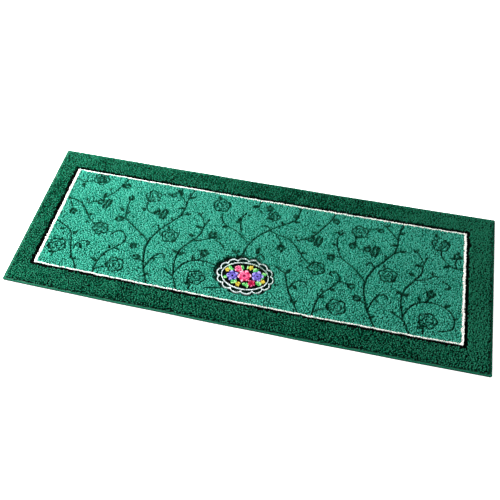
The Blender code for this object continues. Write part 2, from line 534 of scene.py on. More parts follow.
def draw_rose(chart, x, y, degrees, radius):
    """An open rose: five outer petals, three within, a curled heart and a shaded side."""
    turn = math.radians(degrees)
    for reach, dent, twist, crown, arc, (first, last), seam, depths in ROSE_WHORLS:
        petals = len(depths)
        for petal, depth in enumerate(depths):
            start = turn + twist + math.radians(360 / petals * petal)
            top, sweep = start + math.radians(crown), math.radians(arc)
            bulge = ring(x, y, radius * reach, petals, dent, top, start, sweep)
            chart.line(bulge, ROSE_LINE * first, ROSE_LINE * last, strength=depth)
            if seam:
                foot_x, foot_y = bulge[0]
                line = [(x + (foot_x - x) * seam, y + (foot_y - y) * seam), bulge[0]]
                chart.line(line, ROSE_LINE * ROSE_SEAM_WIDTH, ROSE_LINE, strength=depth)
    for reach, start, sweep, (first, last), depth in ROSE_ARCS:
        arc = ring(x, y, radius * reach, 1, 0, 0, turn + start, sweep)
        chart.line(arc, ROSE_LINE * first, ROSE_LINE * last, strength=depth)


def draw_blossom(chart, x, y, degrees, radius):
    """Two half-open flowers side by side: a small round one, and a long frilled one in two lobes."""
    angle = math.radians(degrees)
    small_x, small_y = x + SMALL_FLOWER[0] * radius, y + SMALL_FLOWER[1] * radius
    fill_width, fill_depth = SMALL_FILL
    chart.spot(small_x, small_y, radius * fill_width, fill_depth)
    small_radius, petals, dent, turn = SMALL_RING
    small = ring(small_x, small_y, radius * small_radius, petals, dent, turn)
    chart.line(small, *(ROSE_LINE * width for width in SMALL_OUTLINE))
    small_slit = [(small_x + end, small_y) for end in SMALL_SLIT]
    chart.line(small_slit, SMALL_SLIT_WIDTH, SMALL_SLIT_WIDTH, clearing=True)

    long_x, long_y = x + LONG_FLOWER[0] * radius, y + LONG_FLOWER[1] * radius
    for aside, half_length, half_width, depth in LOBES:
        lobe_x = long_x - aside * radius * math.sin(angle)
        lobe_y = long_y + aside * radius * math.cos(angle)
        rim = petal_path(lobe_x, lobe_y, radius * half_length, radius * half_width, angle)
        chart.line(rim, *(ROSE_LINE * width for width in LOBE_OUTLINE), strength=depth)
        fill = spoke(lobe_x, lobe_y, angle, -LOBE_FILL * radius, LOBE_FILL * radius)
        fill_width = radius * half_width
        fill_depth = LOBE_FILL_DEPTH * depth
        chart.line(fill, fill_width, fill_width * LOBE_FILL_WIDENING, strength=fill_depth)
    inner, outer = LONG_SLIT
    slit = spoke(long_x, long_y, angle + LONG_SLIT_TURN, inner * radius, outer * radius)
    chart.line(slit, *LONG_SLIT_WIDTHS, clearing=True)
    sepal_x, sepal_y, turn, length, width = SEPAL
    x, y = x + sepal_x * radius, y + sepal_y * radius
    chart.leaf(x, y, math.radians(degrees + turn), radius * length, radius * width)


# The vines in millimetres of the plan. The repeat is drawn twice, REPEAT apart. Tufting by hand has
# moved places of the left one along X: HAND_SHIFT lists x in the right repeat, and how far. What is
# named RIGHT, LEFT, MIDDLE or LEFT_END is drawn once, in that part of the field.
REPEAT = 563
HAND_SHIFT = [(160, -16), (195, -9), (230, -3), (300, -1), (345, -3), (385, -7), (465, -7), (505, 8)]

STEMS = [
    # points, width at the first and the last of them
    ([(337, -172), (317, -135), (305, -109), (296, -80), (292, -50), (297, -22), (312, 10)], 4.0, 3.8),
    ([(312, 10), (328, 29), (341, 46), (353, 62), (360, 88), (360, 114), (364, 138), (376, 172)], 3.8, 3.1),
    ([(307, -118), (313, -97), (321, -80), (333, -66), (346, -65), (353, -76)], 3.5, 2.9),
    ([(358, 110), (346, 121), (334, 134), (325, 146)], 2.9, 3.2),
    ([(353, 62), (363, 68), (376, 75)], 3.4, 2.8),
    ([(302, -101), (293, -94), (285, -90)], 2.8, 2.8),
    ([(230, -44), (242, -50), (252, -52)], 2.4, 2.4),
    ([(310, 8), (303, 20), (295, 20), (290, 11)], 2.8, 3.1),
    ([(418, -172), (404, -145), (394, -125), (380, -116), (362, -108)], 3.3, 3.0),
    ([(393, -122), (388, -100), (384, -78), (384, -56)], 3.5, 3.5),
    ([(384, -56), (390, -38), (400, -22), (414, -3), (426, 18), (428, 40), (434, 62)], 3.5, 3.1),
    ([(428, 48), (421, 64), (411, 79)], 2.4, 2.4),
    ([(412, -5), (428, -3), (444, 4), (454, 13), (470, 15)], 3.1, 2.8),
    ([(391, -116), (398, -98), (412, -78), (432, -66), (456, -62)], 3.5, 3.1),
    ([(456, -62), (482, -68), (503, -82), (512, -104), (507, -124), (492, -133), (477, -136)], 3.0, 2.7),
    ([(440, -64), (448, -55), (452, -48)], 3.4, 2.9),
    ([(441, -136), (441, -150)], 3.4, 3.4),
    ([(33, 66), (58, 57), (84, 51), (106, 32), (122, 13), (134, -1), (150, -12)], 2.8, 3.1),
    ([(50, 57), (61, 44), (70, 31)], 2.6, 2.6),
    ([(108, 50), (118, 57), (130, 62)], 2.8, 2.8),
    ([(284, 121), (293, 128), (302, 129)], 2.4, 2.4),
]
RIGHT_STEMS = [
    ([(152, -172), (134, -137), (114, -104), (103, -76), (96, -55)], 3.5, 3.1),
    ([(96, -55), (82, -47), (66, -39)], 2.9, 2.8),
    ([(293, -38), (274, -16), (250, 5), (228, 20), (216, 38), (209, 62), (207, 80), (212, 92)], 3.1, 2.6),
    ([(254, 94), (254, 78), (262, 62), (276, 54)], 2.6, 2.4),
    ([(179, -172), (181, -140), (186, -112), (196, -90), (212, -72), (226, -54)], 3.5, 3.1),
    ([(226, -54), (230, -40), (222, -27), (209, -24), (203, -32), (212, -37)], 3.1, 3.1),
    ([(181, -148), (192, -138), (206, -133)], 2.8, 2.8),
    ([(478, 4), (492, -4), (497, -14), (486, -18)], 2.8, 3.8),
    ([(470, 94), (472, 78), (484, 63), (500, 50), (531, 44), (560, 30)], 3.4, 3.1),
    ([(511, 47), (506, 62), (508, 76)], 3.2, 3.0),
    ([(194, 172), (185, 140), (172, 116), (157, 92), (146, 74)], 3.1, 3.4),
    ([(112, -98), (118, -82), (130, -70), (146, -68), (155, -77)], 2.9, 2.9),
]
LEFT_STEMS = [
    ([(-420, -172), (-432, -146), (-443, -131), (-454, -116), (-462, -98), (-475, -61)], 3.5, 3.1),
    ([(-475, -61), (-482, -49), (-493, -40), (-508, -32), (-525, -25), (-560, -12)], 3.0, 2.8),
    ([(-268, -40), (-285, -23), (-302, -11), (-325, 4), (-345, 18), (-356, 28)], 3.2, 2.8),
    ([(-356, 28), (-358, 42), (-361, 60), (-362, 82)], 2.8, 2.6),
    ([(-312, 94), (-312, 80), (-306, 66), (-294, 57), (-280, 55)], 2.6, 2.4),
    ([(-378, -172), (-381, -140), (-378, -115), (-370, -95), (-358, -80), (-345, -66)], 3.6, 3.2),
    ([(-345, -66), (-336, -56), (-331, -43), (-337, -28), (-349, -19), (-363, -22), (-374, -36)], 3.2, 3.2),
    ([(-380, -148), (-370, -140), (-358, -134)], 2.8, 2.6),
    ([(-102, 6), (-90, 3), (-80, -4), (-74, -12)], 2.6, 3.4),
    ([(-104, 92), (-101, 78), (-92, 66), (-78, 57), (-60, 50), (-41, 38), (-26, 25), (-14, 19)], 3.0, 2.6),
    ([(-41, 46), (-46, 62), (-50, 80), (-48, 98), (-41, 112)], 3.0, 2.8),
    ([(-386, 172), (-390, 155), (-397, 136), (-405, 117), (-416, 98), (-434, 78)], 3.6, 3.2),
    ([(-453, -100), (-454, -88), (-447, -77), (-436, -70), (-425, -69), (-419, -76), (-425, -83)], 2.6, 3.0),
]
MIDDLE_STEMS = [
    ([(-22, -46), (-18, -4), (-10, 19), (6, 45), (32, 69), (60, 91), (84, 107)], 3.5, 3.4),
    ([(84, 107), (94, 120), (97, 142), (104, 172)], 3.4, 2.9),
    ([(-10, 172), (-13, 146), (-12, 131), (1, 118)], 2.6, 2.4),
    ([(6, 76), (18, 80), (31, 72)], 2.6, 2.8),
    ([(14, -26), (22, -13), (32, -16), (36, -26)], 2.8, 2.9),
]
LEFT_END_STEMS = [
    ([(-560, 128), (-530, 125), (-508, 120), (-488, 127)], 2.4, 2.2),
    ([(-502, -118), (-502, -133)], 3.4, 3.4),
]
LEAVES = [
    # stalk end x and y, direction in degrees, length
    (314, -134, 25, 16), (322, -80, -55, 12), (338, 44, 130, 13), (360, 90, 190, 18),
    (362, 126, 25, 18), (366, 70, 20, 19), (327, 143, 150, 11),
    (329, 143, 60, 13), (271, -18, 215, 9), (374, -112, 140, 13), (384, -54, 155, 18),
    (384, -56, 18, 22), (411, 79, 160, 14), (411, 79, 75, 11), (426, 38, 175, 20),
    (433, 60, 60, 12), (412, 6, 165, 19), (428, -66, 100, 17), (484, -70, 30, 20),
    (510, -98, 25, 12), (441, -136, 175, 17), (122, 14, 140, 14), (122, 14, 15, 16),
    (131, -4, 235, 12), (104, 56, 115, 13), (104, 55, -40, 10), (131, 62, 200, 12),
    (336, 14, 120, 12),
]
RIGHT_LEAVES = [
    (96, -54, 48, 20), (80, -46, 140, 13), (132, -134, 140, 15), (132, -134, 60, 13), (86, -90, 200, 12),
    (216, 40, 95, 14), (208, 58, 170, 14), (210, -74, -15, 18), (228, -46, -30, 11),
    (196, -89, 110, 14), (188, -102, 5, 15), (186, -101, 100, 10), (454, 14, 100, 14),
    (494, 53, 205, 19), (506, 78, 190, 16), (512, 82, 0, 15),
    (509, 90, 60, 14), (158, 112, 190, 13), (151, 88, 200, 13), (119, -82, -40, 20),
    (456, 133, 100, 18),
]
LEFT_LEAVES = [
    (-474, -58, 52, 20), (-446, -131, 20, 14), (-446, -131, 130, 12), (-227, 132, 128, 25),
    (-361, -79, 120, 15), (-346, -73, -25, 13), (-380, -123, 155, 20), (-375, -103, 20, 12),
    (-437, 77, 80, 20), (-427, 105, 90, 12), (-356, 38, 55, 14), (-366, 47, 150, 18),
    (-281, 57, 80, 16), (-311, 68, 200, 13), (-311, 67, 255, 12), (-444, -79, -62, 20),
    (-76, 58, 195, 21), (-38, 104, 10, 13), (-56, 77, 80, 21), (-51, 76, 175, 15),
    (-118, 138, 125, 18), (-98, 12, 20, 12),
]
MIDDLE_LEAVES = [
    (60, 91, 110, 14), (92, 118, 130, 15), (94, 122, 118, 16), (88, 108, 5, 18), (99, 150, 150, 11),
    (10, 78, 215, 9), (-12, 141, 197, 22), (13, -14, 80, 26), (-50, -12, -35, 20), (-38, -22, 70, 14),
    (30, 108, 190, 17), (22, 128, 150, 14),
]
LEFT_END_LEAVES = [
    (-510, 118, -70, 20), (-509, 118, -110, 13), (-500, -44, 190, 16), (-502, -120, 190, 14),
]
BUDS = [
    # foot x and y, direction in degrees, length
    (291, -92, 160, 23), (250, -52, -20, 22), (304, 129, -10, 18), (451, -53, 85, 27),
]
RIGHT_BUDS = [
    (211, 90, 80, 18), (208, 29, 230, 24), (67, 31, -75, 25), (190, 143, -60, 22),
    (252, 76, -110, 22), (508, 74, 85, 22),
]
LEFT_BUDS = [
    (-362, 82, 80, 20), (-356, 24, 200, 26), (-508, 28, -60, 25), (-397, 124, 30, 23),
    (-119, 8, 60, 27),
]
MIDDLE_BUDS = [(18, 127, 100, 22)]
ROSES = [
    # x, y, turn in degrees, radius
    (234, -122, 10, 24), (262, 112, 70, 22), (345, -6, 130, 23), (450, -114, 40, 23),
    (169, -22, 300, 22),
]
RIGHT_ROSES = [(467, 114, 200, 23)]
LEFT_ROSES = [(-112, 122, 200, 24), (-464, 139, 250, 22), (-463, 138, 90, 13), (-500, -98, 20, 24)]
MIDDLE_ROSES = [(32, 115, 40, 16)]
BLOSSOMS = [
    # x, y, the long flower's direction in degrees, size
    (298, 60, 80, 21), (152, 61, 75, 21),
]


def by_hand(x, y):
    """A place in the right repeat as it came out in the left one."""
    return x - REPEAT + np.interp(x, *zip(*HAND_SHIFT)), y


def as_planned(x, y):
    """A place that was tufted where it was drawn."""
    return x, y


def carved_vines():
    """The chart of all that is carved into the field, but for the trench round the oval."""
    chart = Chart()
    layers = [
        (as_planned, STEMS, LEAVES, BUDS, ROSES, BLOSSOMS),
        (by_hand, STEMS, LEAVES, BUDS, ROSES, BLOSSOMS),
        (as_planned, RIGHT_STEMS, RIGHT_LEAVES, RIGHT_BUDS, RIGHT_ROSES, []),
        (as_planned, LEFT_STEMS, LEFT_LEAVES, LEFT_BUDS, LEFT_ROSES, []),
        (as_planned, MIDDLE_STEMS, MIDDLE_LEAVES, MIDDLE_BUDS, MIDDLE_ROSES, []),
        (as_planned, LEFT_END_STEMS, LEFT_END_LEAVES, [], [], []),
    ]
    drawers = (draw_leaf, draw_bud, draw_rose, draw_blossom)
    for place, stems, *others in layers:
        for points, width_start, width_end in stems:
            moved = [Vector(place(x, y)) * MM for x, y in points]
            width_start, width_end = width_start * STEM_WEIGHT * MM, width_end * STEM_WEIGHT * MM
            chart.line(smooth_path(moved), width_start, width_end)
        for draw, items in zip(drawers, others):
            for x, y, degrees, size in items:
                x, y = place(x, y)
                draw(chart, x * MM, y * MM, degrees, size * MM)
    chart.wear()
    return chart


# ---------------------------------------------------------------- small helpers
def add_object(name, data):
    """A new object in the scene, for some mesh, light or camera data."""
    item = bpy.data.objects.new(name, data)
    bpy.context.scene.collection.objects.link(item)
    return item


def set_inputs(tree, node, inputs):
    """Sets a node's inputs. Each takes a plain value, an output, or a node, for its first output."""
    for key, value in inputs.items():
        if isinstance(value, bpy.types.Node):
            value = value.outputs[0]
        if isinstance(value, bpy.types.NodeSocket):
            tree.links.new(value, node.inputs[key])
        else:
            node.inputs[key].default_value = value


def add_node(tree, kind, inputs=None, **settings):
    """A new node with its settings, and its inputs set as set_inputs does."""
    node = tree.nodes.new(kind)
    for name, value in settings.items():
        setattr(node, name, value)
    set_inputs(tree, node, inputs or {})
    return node


def new_tree(name, inputs):
    """A Geometry Nodes tree with named inputs (name, socket type, default) and one geometry out.

    Returns the tree, what its input node gives, and its output node.
    """
    tree = bpy.data.node_groups.new(name, "GeometryNodeTree")
    tree.interface.new_socket("Geometry", in_out="INPUT", socket_type="NodeSocketGeometry")
    for label, kind, default in inputs:
        socket = tree.interface.new_socket(label, in_out="INPUT", socket_type=kind)
        if default is not None:
            socket.default_value = default
    tree.interface.new_socket("Geometry", in_out="OUTPUT", socket_type="NodeSocketGeometry")
    return tree, add_node(tree, "NodeGroupInput").outputs, add_node(tree, "NodeGroupOutput")


def stored(tree, geometry, name, kind, value):
    """The geometry with a value stored by name on its points."""
    inputs = {"Geometry": geometry, "Name": name, "Value": value}
    return add_node(
        tree, "GeometryNodeStoreNamedAttribute", inputs, data_type=kind, domain="POINT"
    )


def named(tree, name, kind):
    """A value that the points carry by name."""
    return add_node(tree, "GeometryNodeInputNamedAttribute", {"Name": name}, data_type=kind)


def grown(name, source, tree, values):
    """A plain mesh object made by running the tree on the source object, which is then removed."""
    modifier = source.modifiers.new("grow", "NODES")
    modifier.node_group = tree
    for item in tree.interface.items_tree:
        if item.item_type == "SOCKET" and item.in_out == "INPUT" and item.name in values:
            modifier[item.identifier] = values[item.name]
    bpy.context.view_layer.update()
    ready = source.evaluated_get(bpy.context.evaluated_depsgraph_get())
    mesh = bpy.data.meshes.new_from_object(ready)
    mesh.name = name
    source.modifiers.clear()
    bpy.data.objects.remove(source, do_unlink=True)
    return add_object(name, mesh)


# ---------------------------------------------------------------- Geometry Nodes: cut pile
def tuft_tree():
    """One flared tuft of cut yarn on every point, realized. Its points know rise and around."""
    tree, given, made = new_tree(
        "cut_pile",
        [
            ("Tip radius", "NodeSocketFloat", 1.0 * MM),
            ("Root radius", "NodeSocketFloat", 0.5 * MM),
            ("Sides", "NodeSocketInt", TUFT_SIDES),
            ("Raggedness", "NodeSocketFloat", 0.4 * MM),
            ("Seed", "NodeSocketInt", SEED),
            ("Yarn", "NodeSocketMaterial", None),
        ],
    )
    cone_sizes = {
        "Vertices": given["Sides"],
        "Radius Top": given["Tip radius"],
        "Radius Bottom": given["Root radius"],
        "Depth": 1.0,
    }
    cone = add_node(tree, "GeometryNodeMeshCone", cone_sizes, fill_type="NGON")

    # The foot's cap is hidden in the cloth, so it is left out
    normal = add_node(tree, "ShaderNodeSeparateXYZ", {0: add_node(tree, "GeometryNodeInputNormal")})
    comparison = {0: normal.outputs["Z"], 1: -0.9}
    facing_down = add_node(
        tree, "FunctionNodeCompare", comparison, data_type="FLOAT", operation="LESS_THAN"
    )
    cutting = {"Geometry": cone, "Selection": facing_down}
    open_foot = add_node(tree, "GeometryNodeDeleteGeometry", cutting, domain="FACE")

    # Every point of a tuft keeps its share of the height, and where it is around the middle
    place = add_node(tree, "GeometryNodeInputPosition")
    parts = add_node(tree, "ShaderNodeSeparateXYZ", {0: place})
    radii = add_node(tree, "ShaderNodeCombineXYZ", dict.fromkeys("XYZ", given["Tip radius"]))
    share = add_node(tree, "ShaderNodeVectorMath", {0: place, 1: radii}, operation="DIVIDE")
    tuft = stored(tree, open_foot, "rise", "FLOAT", parts.outputs["Z"])
    tuft = stored(tree, tuft, "around", "FLOAT_VECTOR", share)

    leaning = add_node(
        tree, "FunctionNodeEulerToRotation", {0: named(tree, "lean", "FLOAT_VECTOR")}
    )
    planting = {
        "Points": given["Geometry"],
        "Instance": tuft,
        "Rotation": leaning,
        "Scale": named(tree, "size", "FLOAT_VECTOR"),
    }
    planted = add_node(tree, "GeometryNodeInstanceOnPoints", planting)
    realized = add_node(tree, "GeometryNodeRealizeInstances", {0: planted})

    # The cut ends are ragged, the feet aren't
    limits = {"Min": (-1, -1, -1), "Max": (1, 1, 1), "Seed": given["Seed"]}
    shake = add_node(tree, "FunctionNodeRandomValue", limits, data_type="FLOAT_VECTOR")
    amount = times(tree, named(tree, "rise", "FLOAT"), given["Raggedness"])
    offset = add_node(tree, "ShaderNodeVectorMath", {0: shake, "Scale": amount}, operation="SCALE")
    ragged = add_node(tree, "GeometryNodeSetPosition", {"Geometry": realized, "Offset": offset})
    dyeing = {"Geometry": ragged, "Material": given["Yarn"]}
    set_inputs(tree, made, {"Geometry": add_node(tree, "GeometryNodeSetMaterial", dyeing)})
    return tree


# ---------------------------------------------------------------- Geometry Nodes: overlocked edge
def stitch_tree():
    """Slanted loops of yarn over the rim, one after another along a closed path, realized."""
    tree, given, made = new_tree(
        "overlocked_rim",
        [
            ("Pitch", "NodeSocketFloat", STITCH_PITCH),
            ("Yarn radius", "NodeSocketFloat", STITCH_YARN),
            ("Inner end", "NodeSocketVector", None),
            ("Over", "NodeSocketVector", None),
            ("Lower end", "NodeSocketVector", None),
            ("Seed", "NodeSocketInt", SEED),
            ("Yarn", "NodeSocketMaterial", None),
        ],
    )
    bend = {
        "Resolution": STITCH_STEPS,
        "Start": given["Inner end"],
        "Middle": given["Over"],
        "End": given["Lower end"],
    }
    loop = add_node(tree, "GeometryNodeCurveQuadraticBezier", bend)
    roundness = {"Resolution": STITCH_SIDES, "Radius": given["Yarn radius"]}
    section = add_node(tree, "GeometryNodeCurvePrimitiveCircle", roundness)
    strand = add_node(tree, "GeometryNodeCurveToMesh", {"Curve": loop, "Profile Curve": section})
    place = add_node(tree, "GeometryNodeInputPosition")
    stitch = stored(tree, strand, "around", "FLOAT_VECTOR", place)

    path = add_node(tree, "GeometryNodeMeshToCurve", {"Mesh": given["Geometry"]})
    spacing = {"Curve": path, "Length": given["Pitch"]}
    spaced = add_node(tree, "GeometryNodeResampleCurve", spacing, mode="LENGTH")
    tangent = {"Vector": add_node(tree, "GeometryNodeInputTangent")}
    facing = add_node(
        tree, "FunctionNodeAlignRotationToVector", tangent, axis="X", pivot_axis="Z"
    )
    smallest, largest = STITCH_SIZES
    limits = {2: smallest, 3: largest, "Seed": given["Seed"]}
    vary = add_node(tree, "FunctionNodeRandomValue", limits, data_type="FLOAT")
    sewing = {"Points": spaced, "Instance": stitch, "Rotation": facing, "Scale": vary.outputs[1]}
    sewn = add_node(tree, "GeometryNodeInstanceOnPoints", sewing)
    realized = add_node(tree, "GeometryNodeRealizeInstances", {0: sewn})
    smooth = add_node(tree, "GeometryNodeSetShadeSmooth", {"Geometry": realized})
    dyeing = {"Geometry": smooth, "Material": given["Yarn"]}
    set_inputs(tree, made, {"Geometry": add_node(tree, "GeometryNodeSetMaterial", dyeing)})
    return tree


# ---------------------------------------------------------------- materials
BAKE_MAP = "OFBake"
FIBRE_SCALE = 150  # of the specks, to the width of the yarn map
FIBRE_CONTRAST = 1.1
CARVED_POSITION = 0.45  # on the way from the root's colour to the tip's; both darker stops are painted shade
SHEEN_ROUGHNESS = 0.45
YARN_SPECULAR = 0.02
WHITE = (1, 1, 1, 1)


def linear(red, green, blue):
    """A linear colour from 8-bit screen values."""
    levels = []
    for value in (red, green, blue):
        share = value / 255
        levels.append(share / 12.92 if share <= 0.04045 else ((share + 0.055) / 1.055) ** 2.4)
    return (*levels, 1.0)


def new_material(name):
    """A new material and its node tree."""
    material = bpy.data.materials.new(name)
    material.use_nodes = True
    return material, material.node_tree


def set_shader(tree, inputs):
    """Sets the inputs of a material's shader."""
    set_inputs(tree, tree.nodes["Principled BSDF"], inputs)


def ramp(tree, source, stops, interpolation="LINEAR"):
    """The source's values as colours. The stops are 8-bit screen colours with their positions."""
    node = add_node(tree, "ShaderNodeValToRGB", {"Fac": source})
    band = node.color_ramp
    band.interpolation = interpolation
    while len(band.elements) < len(stops):
        band.elements.new(0.5)
    for element, (position, colour) in zip(band.elements, stops):
        element.position = position
        element.color = linear(*colour)
    return node


def ranged(tree, source, low, high):
    """The source's values from 0 to 1, as values from low to high."""
    limits = {"Value": source, "To Min": low, "To Max": high}
    return add_node(tree, "ShaderNodeMapRange", limits)


def times(tree, first, second):
    """The product of two outputs."""
    return add_node(tree, "ShaderNodeMath", {0: first, 1: second}, operation="MULTIPLY")


def noise(tree, place, scale, detail):
    """Noise from 0 to 1 over the places."""
    return add_node(tree, "ShaderNodeTexNoise", {"Vector": place, "Scale": scale, "Detail": detail})


def relief(tree, height, strength, distance):
    """The normals of a surface that is fine relief at the heights given."""
    inputs = {"Height": height, "Strength": strength, "Distance": distance}
    return add_node(tree, "ShaderNodeBump", inputs)


def object_place(tree):
    """Where a point is on its object, in metres."""
    return add_node(tree, "ShaderNodeTexCoord").outputs["Object"]


def yarn_map(tree):
    """Where a point is on the yarn map."""
    return add_node(tree, "ShaderNodeUVMap", uv_map=BAKE_MAP)


def tint_and_shade(tree):
    """The yarn map's two directions: tint varies across it, and painted shade lifts up the tuft, dark at its
    foot and light at its tip.
    """
    parts = add_node(tree, "ShaderNodeSeparateXYZ", {0: yarn_map(tree)})
    return parts.outputs["X"], parts.outputs["Y"]


def fibres(tree):
    """The yarn's fibres, as fine light and dark specks that lie on the yarn map."""
    specks = noise(tree, yarn_map(tree), FIBRE_SCALE, 2)
    return ranged(tree, specks, 1 - FIBRE_CONTRAST, 1 + FIBRE_CONTRAST)


def finish_yarn(tree, roughness, sheen, sheen_colour, **colouring):
    """Finishes a yarn's shader. colouring holds its Color, and the Value that makes it lighter."""
    shader_inputs = {
        "Base Color": add_node(tree, "ShaderNodeHueSaturation", colouring),
        "Roughness": roughness,
        "Sheen Weight": sheen,
        "Sheen Roughness": SHEEN_ROUGHNESS,
        "Sheen Tint": sheen_colour,
        "Specular IOR Level": YARN_SPECULAR,
    }
    set_shader(tree, shader_inputs)


def pile_yarn(name, root, carved, tip, spread, sheen):
    """Cut yarn: darkened at the root as painted shade, its dyed colour at the tip, and every tuft a little
    different.
    """
    material, tree = new_material(name)
    tint, shade = tint_and_shade(tree)
    finish_yarn(
        tree,
        ranged(tree, shade, 1.0, 0.78),
        sheen,
        linear(*tip),
        # Painted shade: the root's colour and the carved colour are the yarn darkened as if in shade
        Color=ramp(tree, shade, [(0.0, root), (CARVED_POSITION, carved), (1.0, tip)]),
        Value=times(tree, ranged(tree, tint, 1 - spread, 1 + spread), fibres(tree)),
        Hue=ranged(tree, tint, 0.494, 0.506),
        Saturation=ranged(tree, tint, 1 + 0.1 * spread, 1 - 0.1 * spread),
    )
    return material


OVAL_COLOURS = [
    # name, 8-bit screen colour
    ("black", (4, 7, 6)),
    ("cream", (238, 250, 250)),
    ("sage", (116, 154, 140)),
    ("deep green", (1, 24, 17)),
    ("violet", (114, 102, 190)),
    ("light violet", (176, 170, 230)),
    ("deep violet", (54, 42, 122)),
    ("rose red", (176, 28, 68)),
    ("pink", (216, 98, 142)),
    ("light pink", (242, 194, 212)),
    ("deep red", (116, 12, 42)),
    ("yellow", (212, 196, 78)),
    ("orange", (158, 128, 36)),
    ("leaf green", (84, 186, 96)),
    ("light leaf", (164, 232, 150)),
    ("dark leaf", (20, 96, 56)),
]
OVAL_INDEX = {name: number for number, (name, _) in enumerate(OVAL_COLOURS)}


def oval_yarn():
    """The oval's dyed yarns side by side on the yarn map, darkened towards the root as painted shade."""
    material, tree = new_material("oval_yarn")
    which, shade = tint_and_shade(tree)
    stops = []
    for number, (_, colour) in enumerate(OVAL_COLOURS):
        stops.append((number / len(OVAL_COLOURS), colour))
    finish_yarn(
        tree,
        ranged(tree, shade, 1.0, 0.7),
        0.0,
        WHITE,
        Color=ramp(tree, which, stops, "CONSTANT"),
        Value=times(tree, ranged(tree, shade, 0.05, 1.15), fibres(tree)),
    )
    return material


def rim_yarn():
    """Satin overlock yarn, darkened towards the low ends of the loops as painted shade, and each loop a
    little different.
    """
    material, tree = new_material("rim_yarn")
    tint, shade = tint_and_shade(tree)
    finish_yarn(
        tree,
        ranged(tree, shade, 0.8, 0.55),
        0.05,
        linear(60, 150, 120),
        Color=ramp(tree, shade, [(0.0, (1, 12, 8)), (0.5, (7, 56, 39)), (0.9, (23, 98, 74))]),
        Value=ranged(tree, tint, 0.88, 1.12),
    )
    return material


def rim_core():
    """The turned-in cloth edge under the overlock yarn."""
    material, tree = new_material("rim_core")
    grain = noise(tree, object_place(tree), 900, 3)
    shader_inputs = {
        "Base Color": ramp(tree, grain, [(0.3, (8, 44, 32)), (0.7, (20, 78, 58))]),
        "Normal": relief(tree, grain, 0.4, 0.3 * MM),
        "Roughness": 0.9,
    }
    set_shader(tree, shader_inputs)
    return material


def shaded_ground_weave():
    """The primary cloth that shows between the tufts, dark green as painted shade down between them."""
    material, tree = new_material("shaded_ground_weave")
    grain = noise(tree, object_place(tree), 260, 4)
    body = ramp(tree, grain, [(0.3, (6, 34, 26)), (0.7, (14, 62, 48))])
    set_shader(tree, {"Base Color": body, "Roughness": 0.95})
    return material


def backing_coat():
    """A woven scrim bedded in a pale non-slip coat, on the underside."""
    material, tree = new_material("backing_coat")
    place = object_place(tree)
    threads = []
    for axis in ("X", "Y"):
        wave_inputs = {"Vector": place, "Scale": 90, "Distortion": 0.6}
        wave = add_node(tree, "ShaderNodeTexWave", wave_inputs, bands_direction=axis)
        threads.append(wave.outputs["Fac"])
    weave = times(tree, *threads)
    blotch = noise(tree, place, 14, 5)
    mixing = {0: weave, 1: 0.55, 2: ranged(tree, blotch, 0.05, 0.45)}
    mixed = add_node(tree, "ShaderNodeMath", mixing, operation="MULTIPLY_ADD")
    shader_inputs = {
        "Base Color": ramp(tree, mixed, [(0.1, (176, 168, 148)), (0.9, (214, 208, 190))]),
        "Normal": relief(tree, weave, 0.5, 0.4 * MM),
        "Roughness": ranged(tree, blotch, 0.75, 0.95),
    }
    set_shader(tree, shader_inputs)
    return material


def stage_paint(name, grey, inputs):
    """A plain matt grey, with whatever else its shader needs."""
    material, tree = new_material(name)
    set_shader(tree, {"Base Color": (grey, grey, grey, 1), "Roughness": 0.9, **inputs})
    return material


# ---------------------------------------------------------------- planting the pile
LINE_JITTER = 0.6 * TUFT_JITTER
PILE_FOOT_SHADE = 0.12  # how far up the yarn's colours a tuft's foot lies: painted shade at the feet
PILE_MAP_SPREAD = (0.012, 0.012)  # how far one tuft's points lie apart on the yarn map
MAP_LIMITS = (0.03, 0.97)  # of the tint, across the yarn map
SHADE_LIMITS = (0.03, 0.96)


def staggered(low_x, high_x, low_y, high_y, pitch, seed):
    """Plan points in staggered rows, each moved a little, and a grain that sets neighbours apart."""
    random = np.random.default_rng(seed)
    row_pitch = pitch * math.sqrt(3) / 2
    rows = np.arange(low_y + row_pitch / 2, high_y - row_pitch / 3, row_pitch)
    columns = np.arange(low_x + pitch / 2, high_x - pitch / 2, pitch)
    x, y = np.meshgrid(columns, rows)
    x = x + (np.arange(len(rows)) % 2 * pitch / 2)[:, None]
    x = x + random.uniform(-TUFT_JITTER, TUFT_JITTER, x.shape) * pitch
    y = y + random.uniform(-TUFT_JITTER, TUFT_JITTER, y.shape) * pitch
    grain = random.normal(0, 1, x.shape)
    around = np.zeros_like(grain)
    for step, axis in ((1, 0), (-1, 0), (1, 1), (-1, 1)):
        around = around + np.roll(grain, step, axis) / 4
    grain = (grain - around) / math.sqrt(1.25)
    return x.ravel(), y.ravel(), grain.ravel()


def chained(parts):
    """Some (x, y) pairs of arrays end to end, as one x and one y."""
    return [np.concatenate(values) for values in zip(*parts)]


